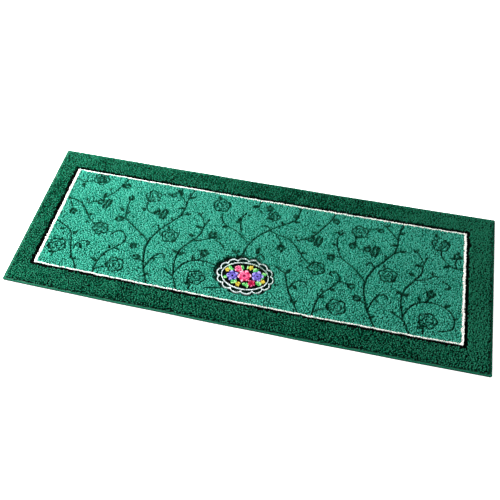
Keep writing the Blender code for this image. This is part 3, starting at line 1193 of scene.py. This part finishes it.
def line_rows(widths, inward_sign, seed):
    """Plan points in rows that follow the panel's outline, inside it (1) or outside it (-1)."""
    random = np.random.default_rng(seed)
    rows = []
    for row in range(LINE_ROWS):
        share = inward_sign * (row + 0.5) / LINE_ROWS
        left, right = PANEL_LEFT + share * widths["left"], PANEL_RIGHT - share * widths["right"]
        front, back = PANEL_FRONT + share * widths["front"], PANEL_BACK - share * widths["back"]
        back_left, back_right = back + BACK_LINE_SLOPE * left, back + BACK_LINE_SLOPE * right
        corners = [(left, front), (right, front), (right, back_right), (left, back_left)]
        inward = [(0, 1), (-1, 0), (0, -1), (1, 0)]
        for (ax, ay), (bx, by), (ix, iy) in zip(corners, corners[1:] + corners[:1], inward):
            count = round(math.hypot(bx - ax, by - ay) / LINE_PITCH)
            way = (np.arange(count) + 0.5 * (row % 2)) / count
            x, y = ax + (bx - ax) * way, ay + (by - ay) * way
            x = x - PANEL_SKEW * y
            shift = -line_wander(x, y)
            rows.append((x + ix * shift, y + iy * shift))
    x, y = chained(rows)
    shake = LINE_JITTER * LINE_PITCH
    x = x + random.uniform(-shake, shake, len(x))
    y = y + random.uniform(-shake, shake, len(y))
    return x, y, random.normal(0, 1, len(x))


def tuft_points(name, x, y, height, lean_x, lean_y, tint, width, seed):
    """An object of loose points that carry what the tuft tree needs."""
    random = np.random.default_rng(seed)
    mesh = bpy.data.meshes.new(name + "_points")
    mesh.vertices.add(len(x))
    places = np.stack([*to_cloth(x, y), np.full(len(x), ROOT_LEVEL)], 1)
    mesh.vertices.foreach_set("co", places.astype(np.float32).ravel())
    turn = random.uniform(0, 2 * math.pi, len(x))
    carried = [
        ("lean", "FLOAT_VECTOR", "vector", np.stack([-lean_y, lean_x, turn], 1)),
        ("size", "FLOAT_VECTOR", "vector", np.stack([width, width, height - ROOT_LEVEL], 1)),
        ("tint", "FLOAT", "value", tint),
    ]
    for label, kind, key, values in carried:
        layer = mesh.attributes.new(label, kind, "POINT")
        layer.data.foreach_set(key, np.asarray(values, np.float32).ravel())
    return add_object(name + "_points", mesh)


def read_attribute(mesh, name, width=1):
    """What a mesh's points carry by name: a number each, or as many as the width says."""
    layer = mesh.attributes[name]
    values = np.empty(len(layer.data) * width, np.float32)
    layer.data.foreach_get("vector" if width == 3 else "value", values)
    return values.reshape(-1, width) if width > 1 else values


def set_bake_map(mesh, u, v):
    """Lays every corner on the yarn map at its vertex's u and v, and drops what the points carry."""
    corner_vertex = np.empty(len(mesh.loops), np.int32)
    mesh.loops.foreach_get("vertex_index", corner_vertex)
    for layer in list(mesh.uv_layers):
        mesh.uv_layers.remove(layer)
    layer = mesh.uv_layers.new(name=BAKE_MAP)
    corners = np.stack([u[corner_vertex], v[corner_vertex]], 1).astype(np.float32)
    layer.data.foreach_set("uv", corners.ravel())
    for name in ("lean", "size", "tint", "rise", "around"):
        layer = mesh.attributes.get(name)
        if layer:
            mesh.attributes.remove(layer)


def carve(mesh, carving):
    """Shears the carved places down, and returns how deep each point is carved."""
    places = mesh_points(mesh)
    depth = carving(*from_cloth(places[:, 0], places[:, 1]))
    places[:, 2] -= (depth * VINE_DROP * read_attribute(mesh, "rise")).astype(np.float32)
    mesh.vertices.foreach_set("co", places.ravel())
    return depth


def dye_and_shade(mesh, foot_shade, tip_shade, spread):
    """Lays a piece of pile on the yarn map: its tint across the map, and painted shade up it, dark at the
    feet and light at the tips.

    spread is how far one tuft's points lie apart on the map, across it and up it.
    """
    rise = np.clip(read_attribute(mesh, "rise"), 0, 1)
    around = read_attribute(mesh, "around", 3)
    tint = np.clip(read_attribute(mesh, "tint"), *MAP_LIMITS)
    shade = np.clip(foot_shade + (tip_shade - foot_shade) * rise, *SHADE_LIMITS)
    set_bake_map(mesh, tint + spread[0] * around[:, 0], shade + spread[1] * around[:, 1])
    mesh.shade_smooth()


def pile_piece(name, tree, yarn, spots, look, carving=None):
    """One piece of cut pile. The spots are its plan x and y, and the grain that sets tufts apart."""
    x, y, grain = spots
    count = len(x)
    pitch = look["pitch"]
    random = np.random.default_rng(look["seed"])
    uneven = 0.6 * grain + 0.8 * random.normal(0, 1, count)
    height = look["height"](x, y) + TUFT_UNEVENNESS * pitch * uneven
    lean_x, lean_y = nap(x, y, random, look["lean"])
    tint = 0.5 + look["patch"](x, y) + along_x(look["mottle"], x) * grain
    width = random.uniform(*TUFT_WIDTHS, count) * look["thickness"]
    points = tuft_points(name, x, y, height, lean_x, lean_y, tint, width, look["seed"])
    values = {
        "Tip radius": TIP_SPREAD * pitch,
        "Root radius": ROOT_SPREAD * pitch,
        "Raggedness": TUFT_RAGGEDNESS * pitch,
        "Yarn": yarn,
        "Seed": look["seed"],
    }
    piece = grown(name, points, tree, values)
    depth = carve(piece.data, carving) if carving else 0
    # Painted shade: the feet are dark, and the deeper a tip is carved the darker it is
    dye_and_shade(piece.data, PILE_FOOT_SHADE, 1 - depth * (1 - CARVED_SHADE), PILE_MAP_SPREAD)
    return piece


def nap(x, y, random, looseness):
    """Which way each tuft leans, as tilts towards +X and +Y: brushed, and outwards at the rim."""
    loose = looseness * TUFT_LEAN
    lean_x = NAP_LEAN[0] + NAP_DRIFT * drift(x, y, 90 * MM, 21) + random.normal(0, loose, len(x))
    lean_y = NAP_LEAN[1] + NAP_DRIFT * drift(x, y, 70 * MM, 22) + random.normal(0, loose, len(x))
    near_end = np.clip(1 - end_distance(x, y) / RIM_LEAN_REACH, 0, 1)
    near_side = np.clip(1 - (HALF_DEPTH - np.abs(y)) / RIM_LEAN_REACH, 0, 1)
    lean_x = lean_x + RIM_LEAN * np.sign(x) * near_end
    lean_y = lean_y + RIM_LEAN * np.sign(y) * near_side
    return lean_x, lean_y


def pile_height(x, y):
    """How high the sheared pile stands: level, a little uneven, rounded down at the rim."""
    near_rim = np.clip(1 - rim_distance(x, y) / RIM_ROUNDING, 0, 1)
    rim_drop = np.interp(y, (-HALF_DEPTH, HALF_DEPTH), RIM_DROPS)
    uneven = PILE_UNEVENNESS * drift(x, y, 60 * MM, 31)
    return PILE_TOP - PILE_SLACK + uneven - rim_drop * near_rim**2


def field_height(x, y):
    """The panel's pile, sheared down into a trench where it meets the oval."""
    return pile_height(x, y) - OVAL_TRENCH_DROP * trench(x, y)


def black_height(x, y):
    """The black line's pile, sheared lower than what lies beside it."""
    return pile_height(x, y) - BLACK_DROP


def brushed_and_lit_patches(x, y):
    """How much lighter the pile lies in patches: where a hand or a foot has brushed it, and painted light at
    the right end, where the key light falls off.
    """
    lighter = np.zeros(len(x))
    for middle_x, middle_y, reach, amount in BRUSHED_AND_LIT_PATCHES:
        distance = np.hypot(x / MM - middle_x, y / MM - middle_y)
        lighter = lighter + amount * np.exp(-((distance / reach) ** 2))
    return lighter


def drifting(drifts, x, y):
    """How much lighter some drifts make a place. Each is how much, its wavelength, its seed."""
    return sum(amount * drift(x, y, wavelength, seed) for amount, wavelength, seed in drifts)


def border_patch(x, y):
    """How much lighter each place of the border is than its middle tint."""
    # Partly brushed nap, partly painted light that lightens the right end
    front, back = along_x(BRUSHED_AND_LIT_FRONT, x), along_x(BRUSHED_AND_LIT_BACK, x)
    brushed = front + (back - front) * (y + HALF_DEPTH) / (2 * HALF_DEPTH)
    return brushed + brushed_and_lit_patches(x, y) + drifting(BORDER_DRIFTS, x, y)


def field_patch(x, y):
    """How much lighter each place of the field is than its middle tint."""
    return along_x(BRUSHED_AND_LIT_FIELD, x) + brushed_and_lit_patches(x, y) + drifting(FIELD_DRIFTS, x, y)


def line_patch(x, y):
    """How much lighter each place of the black and cream lines is than its middle tint."""
    return drifting(LINE_DRIFTS, x, y)


# ---------------------------------------------------------------- the floral oval's own design
OVAL_FLOWERS = [
    # x, y from the oval's middle in millimetres, radius, petals, turn in degrees, and the colours of
    # the petals' edge, of their middle, of their seams and of the heart
    (-1, 0, 17.0, 6, 15, "light pink", "pink", "rose red", "deep red"),
    (-31, -5, 14.5, 5, 40, "light violet", "violet", "deep violet", "black"),
    (31, 5, 14.5, 5, 10, "light violet", "violet", "deep violet", "black"),
    (-21, 18, 9.5, 5, 0, "light pink", "pink", "rose red", "deep red"),
    (21, -18, 9.5, 5, 60, "pink", "rose red", "deep red", "deep red"),
    (-12, -26, 6.2, 5, 20, "yellow", "yellow", "orange", "deep red"),
    (10, 26, 6.2, 5, 50, "yellow", "yellow", "orange", "deep red"),
    (47, -8, 5.6, 5, 0, "yellow", "yellow", "orange", "deep red"),
    (-47, 9, 5.6, 5, 30, "yellow", "yellow", "orange", "deep red"),
]
OVAL_LEAVES = [
    # x, y from the oval's middle, direction in degrees, length
    (-43, -10, 205, 11), (-37, 9, 120, 15), (-31, 13, 190, 10), (-9, 17, 110, 14), (17, 17, 40, 16),
    (41, 12, 20, 14), (42, -2, 60, 9), (36, -9, -60, 15), (30, -14, -10, 11), (8, -18, -70, 15),
    (-17, -15, -140, 17), (-2, -22, -20, 10), (1, 21, 70, 11),
]
OVAL_LEAF_WIDTH = 0.3  # half of it, of the leaf's length
LEAF_LIGHT_SIDE = 0.1  # from its middle line, of its half width
LEAF_VEIN = (0.18, 0.2)  # half its width, of the leaf's, and how far along the leaf it starts
FLOWER_GAP = 1.2  # millimetres of black round each flower
# Of a flower's radius
PETAL_NOTCH = 0.26  # how far in the petals part
PETAL_RIM = 0.2
PETAL_SEAM_START = 0.4
INNER_PETALS = (0.42, 0.12)  # their least radius, and how much further they reach
INNER_SEAM = 0.1
FLOWER_HEART = 0.22
# Where between two petals a place is: 0 on a petal's middle line, 1 on the seam
PETAL_RIM_REACH = 0.6
PETAL_SEAM = 0.9
# How many of a petal's tufts are in its darker yarn, its lighter one, and are left out of the rim
PETAL_CHANCES = (0.2, 0.18, 0.25)
OVAL_MARGIN = 0.8 * MM  # the fine pile keeps this far inside the frame's edge
OVAL_MAP_SPREAD = (0.02, 0.015)
# How far up the oval yarn's colours the tips lie; the feet lie lower, as painted shade
OVAL_TIP_SHADE = 0.92
OVAL_UNEVENNESS = 0.12 * MM
OVAL_RAGGEDNESS = 0.13  # of the pitch
OVAL_LOOSENESS = 0.3  # of TUFT_LEAN
OVAL_WIDTHS = (0.92, 1.08)  # as TUFT_WIDTHS
RING_ANGLES = np.linspace(0, 2 * math.pi, 4001)


def in_leaf(dx, dy, x, y, degrees, length):
    """How far along a pointed leaf each place is, and how far across it, of its half width."""
    angle = math.radians(degrees)
    along = ((dx - x) * math.cos(angle) + (dy - y) * math.sin(angle)) / length
    across = (dy - y) * math.cos(angle) - (dx - x) * math.sin(angle)
    fullness = np.sin(math.pi * np.clip(along, 0.02, 0.98))
    half_width = length * OVAL_LEAF_WIDTH * fullness
    return along, across / half_width


def oval_design(x, y, chance):
    """The number of the yarn's colour at each plan point of the oval's ground.

    chance, from 0 to 1, picks the odd tufts that take a petal's darker or lighter yarn.
    """
    dx, dy = (x - OVAL_X) / MM, (y - OVAL_Y) / MM
    layers = []
    vein_width, vein_start = LEAF_VEIN
    for leaf in OVAL_LEAVES:
        along, across = in_leaf(dx, dy, *leaf)
        inside = (along > 0) & (along < 1) & (np.abs(across) < 1)
        vein = inside & (np.abs(across) < vein_width) & (along > vein_start)
        layers.append((inside, "leaf green"))
        layers.append((inside & (across > LEAF_LIGHT_SIDE), "light leaf"))
        layers.append((vein, "dark leaf"))
    darker, lighter, left_out = PETAL_CHANCES
    inner_radius, inner_reach = INNER_PETALS
    for flower_x, flower_y, radius, petals, turn, rim, petal, seam, heart in OVAL_FLOWERS:
        out = np.hypot(dx - flower_x, dy - flower_y) / radius
        angle = np.arctan2(dy - flower_y, dx - flower_x) - math.radians(turn)
        between = np.abs(np.sin(angle * petals / 2))
        outline = 1 - PETAL_NOTCH + PETAL_NOTCH * np.abs(np.cos(angle * petals / 2))
        inner_outline = inner_radius + inner_reach * between
        inside = out < outline
        near_rim = inside & (out > outline - PETAL_RIM) & (between < PETAL_RIM_REACH)
        layers.append((out < outline + FLOWER_GAP / radius, "black"))
        layers.append((inside, petal))
        layers.append((inside & (chance < darker), seam))
        layers.append((inside & (chance > 1 - lighter), rim))
        layers.append((near_rim & (chance > left_out), rim))
        layers.append((inside & (between > PETAL_SEAM) & (out > PETAL_SEAM_START), seam))
        layers.append((out < inner_outline + INNER_SEAM, seam))
        layers.append((out < inner_outline, petal))
        layers.append((out < FLOWER_HEART, heart))
    colour = np.full(len(x), OVAL_INDEX["black"])
    for where, name in layers:
        colour[where] = OVAL_INDEX[name]
    return colour


def even_ring(out):
    """Plan points evenly spaced along a closed line round the oval, so far out of its ground."""
    half_length, half_depth = OVAL_GROUND
    cosine, sine = np.cos(RING_ANGLES), np.sin(RING_ANGLES)
    size = np.hypot(half_depth * cosine, half_length * sine)
    x = half_length * cosine + out * half_depth * cosine / size
    y = half_depth * sine + out * half_length * sine / size
    way = np.concatenate([[0], np.cumsum(np.hypot(np.diff(x), np.diff(y)))])
    spots = np.linspace(0, way[-1], round(way[-1] / OVAL_LINE_SPACING), endpoint=False)
    return OVAL_X + np.interp(spots, way, x), OVAL_Y + np.interp(spots, way, y)


def away_from(x, y, line_x, line_y, distance):
    """Which of the points (x, y) keep the distance from every point of a line."""
    clear = np.ones(len(x), bool)
    for px, py in zip(line_x, line_y):
        clear &= np.hypot(x - px, y - py) > distance
    return clear


def oval_pile(tree):
    """Four pieces of fine pile: the frame's lines and its ground, the black ground, the flowers."""
    yarn = oval_yarn()
    half_length, half_depth = OVAL_GROUND
    reach = OVAL_FRAME + OVAL_SHADOW + 2 * MM
    x, y, _ = staggered(
        OVAL_X - half_length - reach,
        OVAL_X + half_length + reach,
        OVAL_Y - half_depth - reach,
        OVAL_Y + half_depth + reach,
        OVAL_PITCH,
        SEED + 50,
    )
    scallops = scallop_crown(RING_ANGLES) - OVAL_OUTER_LINE
    line_x, line_y = chained([even_ring(OVAL_INNER_LINE), even_ring(scallops)])
    kept = (oval_gap(x, y) < -OVAL_MARGIN) & away_from(x, y, line_x, line_y, OVAL_CLEARANCE)
    x, y = x[kept], y[kept]
    angle, outside = oval_polar(x, y)
    colour = oval_design(x, y, np.random.default_rng(SEED + 55).random(len(x)))
    colour[outside > 0] = OVAL_INDEX["deep green"]
    # Past the scallops the tufts are black: painted shadow
    colour[outside > scallop_crown(angle)] = OVAL_INDEX["black"]
    framing = outside > 0
    ground = ~framing & (colour == OVAL_INDEX["black"])
    flowers = ~framing & ~ground

    # Sage tufts here and there in the lines, and more on one side as painted shade
    line_angle, _ = oval_polar(line_x, line_y)
    everywhere, on_shaded_side = OVAL_DULL_AND_SHADED_SHARES
    dull_and_shaded_share = everywhere + on_shaded_side * np.maximum(0, np.cos(line_angle - OVAL_SHADED_SIDE))
    dull_and_shaded = np.random.default_rng(SEED + 56).random(len(line_x)) < dull_and_shaded_share
    line_colour = np.where(dull_and_shaded, OVAL_INDEX["sage"], OVAL_INDEX["cream"])

    tip = TIP_SPREAD * OVAL_PITCH
    groups = [
        # name, plan points, colours, how far below the pile's height, tip radius, painted shade at the foot
        ("oval_lines", line_x, line_y, line_colour, 0.2 * MM, OVAL_LINE_TIP, 0.3),
        ("oval_frame", x[framing], y[framing], colour[framing], 3.2 * MM, tip, 0.2),
        ("oval_ground", x[ground], y[ground], colour[ground], 3.0 * MM, tip, 0.2),
        ("oval_flowers", x[flowers], y[flowers], colour[flowers], 0.3 * MM, tip, 0.2),
    ]
    pieces = []
    for number, (name, px, py, dyed, drop, tip_radius, foot_shade) in enumerate(groups):
        random = np.random.default_rng(SEED + 60 + number)
        height = pile_height(px, py) - drop + random.normal(0, OVAL_UNEVENNESS, len(px))
        lean_x, lean_y = nap(px, py, random, OVAL_LOOSENESS)
        width = random.uniform(*OVAL_WIDTHS, len(px))
        tint = (dyed + 0.5) / len(OVAL_COLOURS)
        points = tuft_points(name, px, py, height, lean_x, lean_y, tint, width, SEED + 70 + number)
        values = {
            "Tip radius": tip_radius,
            "Root radius": ROOT_SPREAD * OVAL_PITCH,
            "Raggedness": OVAL_RAGGEDNESS * OVAL_PITCH,
            "Yarn": yarn,
            "Seed": SEED + number,
        }
        piece = grown(name, points, tree, values)
        dye_and_shade(piece.data, foot_shade, OVAL_TIP_SHADE, OVAL_MAP_SPREAD)
        pieces.append((piece, "oval_pile"))
    return pieces


# ---------------------------------------------------------------- border, field and lines
RIM_GAP = 0.6 * MM  # the border's outermost tufts keep this far from the cloth's edge
OVAL_GAP = 0.9 * MM  # and the field's tufts this far from the oval's fine pile
BLACK_GAP = 0.35  # from the black line to the border's tufts, of their pitch
CREAM_OVERLAP = 0.1  # the field's tufts reach this far into the cream line, of their pitch


def border_pile(tree):
    """The border's four pieces, each paired with the name of its slot."""
    yarn = pile_yarn("border_yarn", (0, 12, 8), (0, 42, 29), (4, 79, 55), 1.0, sheen=0.0)
    look = {
        "pitch": BORDER_PITCH,
        "height": pile_height,
        "lean": 1.0,
        "patch": border_patch,
        "mottle": BORDER_MOTTLE,
        "thickness": 1.0,
        "seed": SEED + 1,
    }
    reach = HALF_LENGTH + 8 * MM
    x, y, grain = staggered(-reach, reach, -HALF_DEPTH, HALF_DEPTH, BORDER_PITCH, SEED)
    outer_widths = {side: -width for side, width in BLACK_WIDTHS.items()}
    border = panel_depth(x, y, outer_widths) < -BLACK_GAP * BORDER_PITCH
    border &= rim_distance(x, y) > RIM_GAP
    beside = (y >= PANEL_FRONT) & (y <= PANEL_BACK)
    strips = {
        "border_pile_front": y < PANEL_FRONT,
        "border_pile_back": y > PANEL_BACK,
        "border_pile_left": beside & (x < 0),
        "border_pile_right": beside & (x > 0),
    }
    pieces = []
    for name, strip in strips.items():
        chosen = border & strip
        spots = x[chosen], y[chosen], grain[chosen]
        pieces.append((pile_piece(name, tree, yarn, spots, look), "border_pile"))
    return pieces


def field_pile(tree, chart):
    """The carved field in four pieces from left to right, each paired with the name of its slot."""
    yarn = pile_yarn("field_yarn", (0, 26, 17), (8, 64, 47), (38, 129, 108), 0.9, sheen=0.02)
    look = {
        "pitch": FIELD_PITCH,
        "height": field_height,
        "lean": 1.0,
        "patch": field_patch,
        "mottle": FIELD_MOTTLE,
        "thickness": 1.0,
    }
    x, y, grain = staggered(PANEL_LEFT, PANEL_RIGHT, PANEL_FRONT, PANEL_BACK, FIELD_PITCH, SEED + 5)
    field = panel_depth(x, y, CREAM_WIDTHS) > -CREAM_OVERLAP * FIELD_PITCH
    field &= oval_gap(x, y) > OVAL_GAP

    def carving(x, y):
        """The vines, and the trench round the oval. How deep they are carved also darkens the tips as
        painted shade.
        """
        return np.maximum(chart.at(x, y), trench(x, y))

    pieces = []
    panels = ("left", "mid_left", "mid_right", "right")
    width = (PANEL_RIGHT - PANEL_LEFT) / len(panels)
    for number, label in enumerate(panels):
        start = PANEL_LEFT + number * width
        chosen = field & (x >= start) & (x < start + width)
        spots = x[chosen], y[chosen], grain[chosen]
        look["seed"] = SEED + 10 + number
        piece = pile_piece("field_pile_" + label, tree, yarn, spots, look, carving)
        pieces.append((piece, "field_pile"))
    return pieces


def line_pile(tree):
    """The black and the cream line round the field, each paired with the name of its slot."""
    black = pile_yarn("black_yarn", (0, 0, 0), (1, 2, 2), (2, 3, 2), 0.2, sheen=0.0)
    cream = pile_yarn(
        "cream_yarn", (150, 156, 146), (226, 228, 216), (252, 252, 246), 0.06, sheen=0.04
    )
    look = {"pitch": LINE_PITCH, "patch": line_patch, "lean": 0.4, "mottle": LINE_MOTTLE}
    spots = line_rows(BLACK_WIDTHS, -1, SEED + 6)
    black_look = dict(look, height=black_height, seed=SEED + 3, thickness=1.0)
    black_line = pile_piece("black_line_pile", tree, black, spots, black_look)

    spots = line_rows(CREAM_WIDTHS, 1, SEED + 7)
    x = spots[0]
    at_end = (x < PANEL_LEFT + LINE_END_REACH) | (x > PANEL_RIGHT - LINE_END_REACH)
    thickness = np.where(at_end, 1.0, LONG_CREAM_THICKNESS)
    cream_look = dict(look, height=pile_height, seed=SEED + 4, thickness=thickness)
    cream_line = pile_piece("cream_line_pile", tree, cream, spots, cream_look)
    return [(black_line, "black_pile"), (cream_line, "cream_pile")]


# ---------------------------------------------------------------- ground cloth and overlocked rim
CLOTH_STEPS = (40, 12)  # along the cloth and across it
CLOTH_INSET = 0.05 * MM
# Where the cloth's two faces lie on the baked map: the top in its lower half, the underside above
MAP_MARGIN = 0.01
MAP_LENGTH = 0.98
MAP_DEPTH = 0.47
MAP_WALL = (0.004, 0.006)  # how far the thin walls reach past them
RIM_HALF_WIDTH = 3 * MM
RIM_FOOT = 0.5 * MM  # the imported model's rim has only its foot below this
# A loop's own X runs along the rim and its Y inwards
STITCH_INNER_DROP = 1.6 * MM  # a loop starts this far below the rim's top, over its inner side
STITCH_OVER = (0.9 * MM, -2.2 * MM, 1.6)  # where it is pulled to: the last is of the rim's height
STITCH_FOOT = (1.8 * MM, 0.9 * MM, 0.1 * MM)  # where it ends, besides its own radius upwards


def ground_cloth():
    """The cloth that the pile is tufted through, with its coated underside."""
    along, across = CLOTH_STEPS
    work = bmesh.new()
    bmesh.ops.create_grid(work, x_segments=along, y_segments=across, size=0.5)
    for vertex in work.verts:
        plan_y = vertex.co.y * 2 * (HALF_DEPTH - CLOTH_INSET)
        _, y = to_cloth(0, plan_y)
        left = np.interp(y, *LEFT_EDGE) + CLOTH_INSET
        right = np.interp(y, *RIGHT_EDGE) - CLOTH_INSET
        x = left + (right - left) * (vertex.co.x + 0.5)
        _, y = to_cloth(x - PLAN_MIDDLE, plan_y)
        vertex.co = (x, y, GROUND_THICKNESS)
    lowered = bmesh.ops.extrude_face_region(work, geom=list(work.faces))
    for item in lowered["geom"]:
        if isinstance(item, bmesh.types.BMVert):
            item.co.z = 0
    bmesh.ops.recalc_face_normals(work, faces=list(work.faces))
    mesh = bpy.data.meshes.new("ground_cloth")
    work.to_mesh(mesh)
    work.free()
    mesh.materials.append(shaded_ground_weave())
    mesh.materials.append(backing_coat())
    layer = mesh.uv_layers.new(name=BAKE_MAP)
    low, high = pile_box
    for face in mesh.polygons:
        underneath = face.normal.z < -0.5
        wall = abs(face.normal.z) < 0.5
        face.material_index = 1 if underneath else 0
        start = MAP_MARGIN + (0.5 if underneath else 0)
        for corner in face.loop_indices:
            x, y, z = mesh.vertices[mesh.loops[corner].vertex_index].co
            u = MAP_MARGIN + MAP_LENGTH * (x - low.x) / (high.x - low.x)
            v = start + MAP_DEPTH * (y - low.y) / (high.y - low.y)
            if wall:
                u = u + MAP_WALL[0] * z / GROUND_THICKNESS
                v = v + MAP_WALL[1] * z / GROUND_THICKNESS
            layer.data[corner].uv = (u, v)
    return add_object("ground_cloth", mesh)


def rim_path():
    """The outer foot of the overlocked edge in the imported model, as a closed loop of edges."""
    foot = mesh_points(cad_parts["edge_binding"].data).astype(float)
    foot = foot[foot[:, 2] < RIM_FOOT]
    x, y = foot[:, 0], foot[:, 1]
    outer = y < np.interp(x, *FRONT_EDGE) - RIM_HALF_WIDTH
    outer |= y > np.interp(x, *BACK_EDGE) + RIM_HALF_WIDTH
    outer |= x < np.interp(y, *LEFT_EDGE) - RIM_HALF_WIDTH
    outer |= x > np.interp(y, *RIGHT_EDGE) + RIM_HALF_WIDTH
    foot = np.unique(foot[outer].round(6), axis=0)
    angle = np.arctan2(foot[:, 1] / edge_box[1].y, foot[:, 0] / edge_box[1].x)
    foot = foot[np.argsort(angle)]
    mesh = bpy.data.meshes.new("rim_path")
    count = len(foot)
    edges = [(i, (i + 1) % count) for i in range(count)]
    mesh.from_pydata([(x, y, 0) for x, y, _ in foot], edges, [])
    return add_object("rim_path", mesh)


def edge_stitches():
    """The overlock yarn, loop after loop over the rim."""
    width = edge_box[1].x - pile_box[1].x
    top = edge_box[1].z
    over_x, over_y, over_height = STITCH_OVER
    foot_x, foot_y, foot_z = STITCH_FOOT
    values = {
        "Inner end": (0, width, top - STITCH_INNER_DROP),
        "Over": (over_x, over_y, top * over_height),
        "Lower end": (foot_x, foot_y, STITCH_YARN + foot_z),
        "Yarn": rim_yarn(),
    }
    piece = grown("edge_stitches", rim_path(), stitch_tree(), values)
    around = read_attribute(piece.data, "around", 3) / MM
    points_each = (STITCH_STEPS + 1) * STITCH_SIDES
    stitches = len(around) // points_each + 1
    tints = np.random.default_rng(SEED + 90).uniform(0.1, 0.9, stitches)
    tint = np.repeat(tints, points_each)[: len(around)]
    # Painted shade: each loop darker towards its low end
    shade = np.clip(0.17 * around[:, 2] - 0.05, 0.02, 0.97)
    set_bake_map(piece.data, tint + 0.02 * around[:, 0], shade)
    return piece


# ---------------------------------------------------------------- camera, floor and light
CAMERA_PLACE = (0.2252, -0.8569, 1.3182)
CAMERA_AZIMUTH = math.radians(15.105)
CAMERA_ELEVATION = math.radians(56.046)
CAMERA_ROLL = math.radians(-2.31)
CAMERA_LENS = 44.39
SENSOR_WIDTH = 36
FLOOR_SIZE = 12
FLOOR_LEVEL = -0.6 * MM
BOUNCE_LEVEL = -1 * MM
BACKDROP_RADIUS = 30
SKY_STRENGTH = 0.2
LIGHTS = [
    # name, place, what it is aimed at, size, power, colour
    ("key", (-1.4, 0.4, 1.1), (-0.1, 0, 0), 0.5, 111, (1.0, 0.995, 0.985)),
    ("fill", (-0.6, -1.6, 1.6), (0, 0, 0), 1.4, 25, (0.96, 0.98, 1.0)),
]


def add_camera():
    """A camera that looks down at the mat from the front and a little from the right."""
    level = math.cos(CAMERA_ELEVATION)
    back_x, back_y = math.sin(CAMERA_AZIMUTH) * level, -math.cos(CAMERA_AZIMUTH) * level
    back = Vector((back_x, back_y, math.sin(CAMERA_ELEVATION)))
    right = Vector((0, 0, 1)).cross(back).normalized()
    up = back.cross(right)
    rolled_right = right * math.cos(CAMERA_ROLL) + up * math.sin(CAMERA_ROLL)
    rolled_up = up * math.cos(CAMERA_ROLL) - right * math.sin(CAMERA_ROLL)
    data = bpy.data.cameras.new("camera")
    data.lens = CAMERA_LENS
    data.sensor_width = SENSOR_WIDTH
    camera = add_object("camera", data)
    turn = Matrix((rolled_right, rolled_up, back)).transposed()
    camera.matrix_world = Matrix.Translation(CAMERA_PLACE) @ turn.to_4x4()
    bpy.context.scene.camera = camera


def stage_piece(name, paint, shown):
    """Makes the active object part of the stage: it either shows, or only throws light back."""
    piece = bpy.context.active_object
    piece.name = name
    piece.data.materials.append(paint)
    piece.visible_camera = shown
    piece.visible_diffuse = not shown
    piece.visible_glossy = not shown
    piece.visible_shadow = not shown


def add_floor():
    """A floor and a far backdrop that come out white, and a grey floor that throws light back."""
    glow = {"Specular IOR Level": 0.1, "Emission Color": WHITE, "Emission Strength": 0.97}
    paint = stage_paint("floor_paint", 0.95, glow)
    bpy.ops.mesh.primitive_plane_add(size=FLOOR_SIZE, location=(0, 0, FLOOR_LEVEL))
    stage_piece("floor", paint, shown=True)
    bpy.ops.mesh.primitive_uv_sphere_add(radius=BACKDROP_RADIUS, segments=32, ring_count=16)
    stage_piece("backdrop", paint, shown=True)
    bpy.ops.mesh.primitive_plane_add(size=FLOOR_SIZE, location=(0, 0, BOUNCE_LEVEL))
    stage_piece("bounce", stage_paint("bounce_paint", 0.6, {}), shown=False)


def add_lights():
    """A key light low over the left end, a soft fill from the front, and a faint even sky."""
    for name, place, target, size, power, colour in LIGHTS:
        data = bpy.data.lights.new(name, "AREA")
        data.shape = "DISK"
        data.size = size
        data.energy = power
        data.color = colour
        light = add_object(name, data)
        light.location = place
        aim = Vector(target) - Vector(place)
        light.rotation_euler = aim.to_track_quat("-Z", "Y").to_euler()
        light.visible_camera = False
    world = bpy.data.worlds.new("studio")
    bpy.context.scene.world = world
    world.use_nodes = True
    background = world.node_tree.nodes["Background"]
    background.inputs["Color"].default_value = WHITE
    background.inputs["Strength"].default_value = SKY_STRENGTH
    bpy.context.scene.view_settings.view_transform = "Standard"


# ---------------------------------------------------------------- putting the mat together
def main():
    add_camera()
    add_floor()
    add_lights()

    tree = tuft_tree()
    chart = carved_vines()
    pile = border_pile(tree) + field_pile(tree, chart) + line_pile(tree) + oval_pile(tree)
    ground = ground_cloth()
    stitches = edge_stitches()
    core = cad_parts["edge_binding"]
    for slot in core.material_slots:
        slot.material = rim_core()

    for piece, slot in pile:
        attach(piece, "root")
    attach(ground, "root")
    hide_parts("pile_mat")
    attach(stitches, "root")


main()
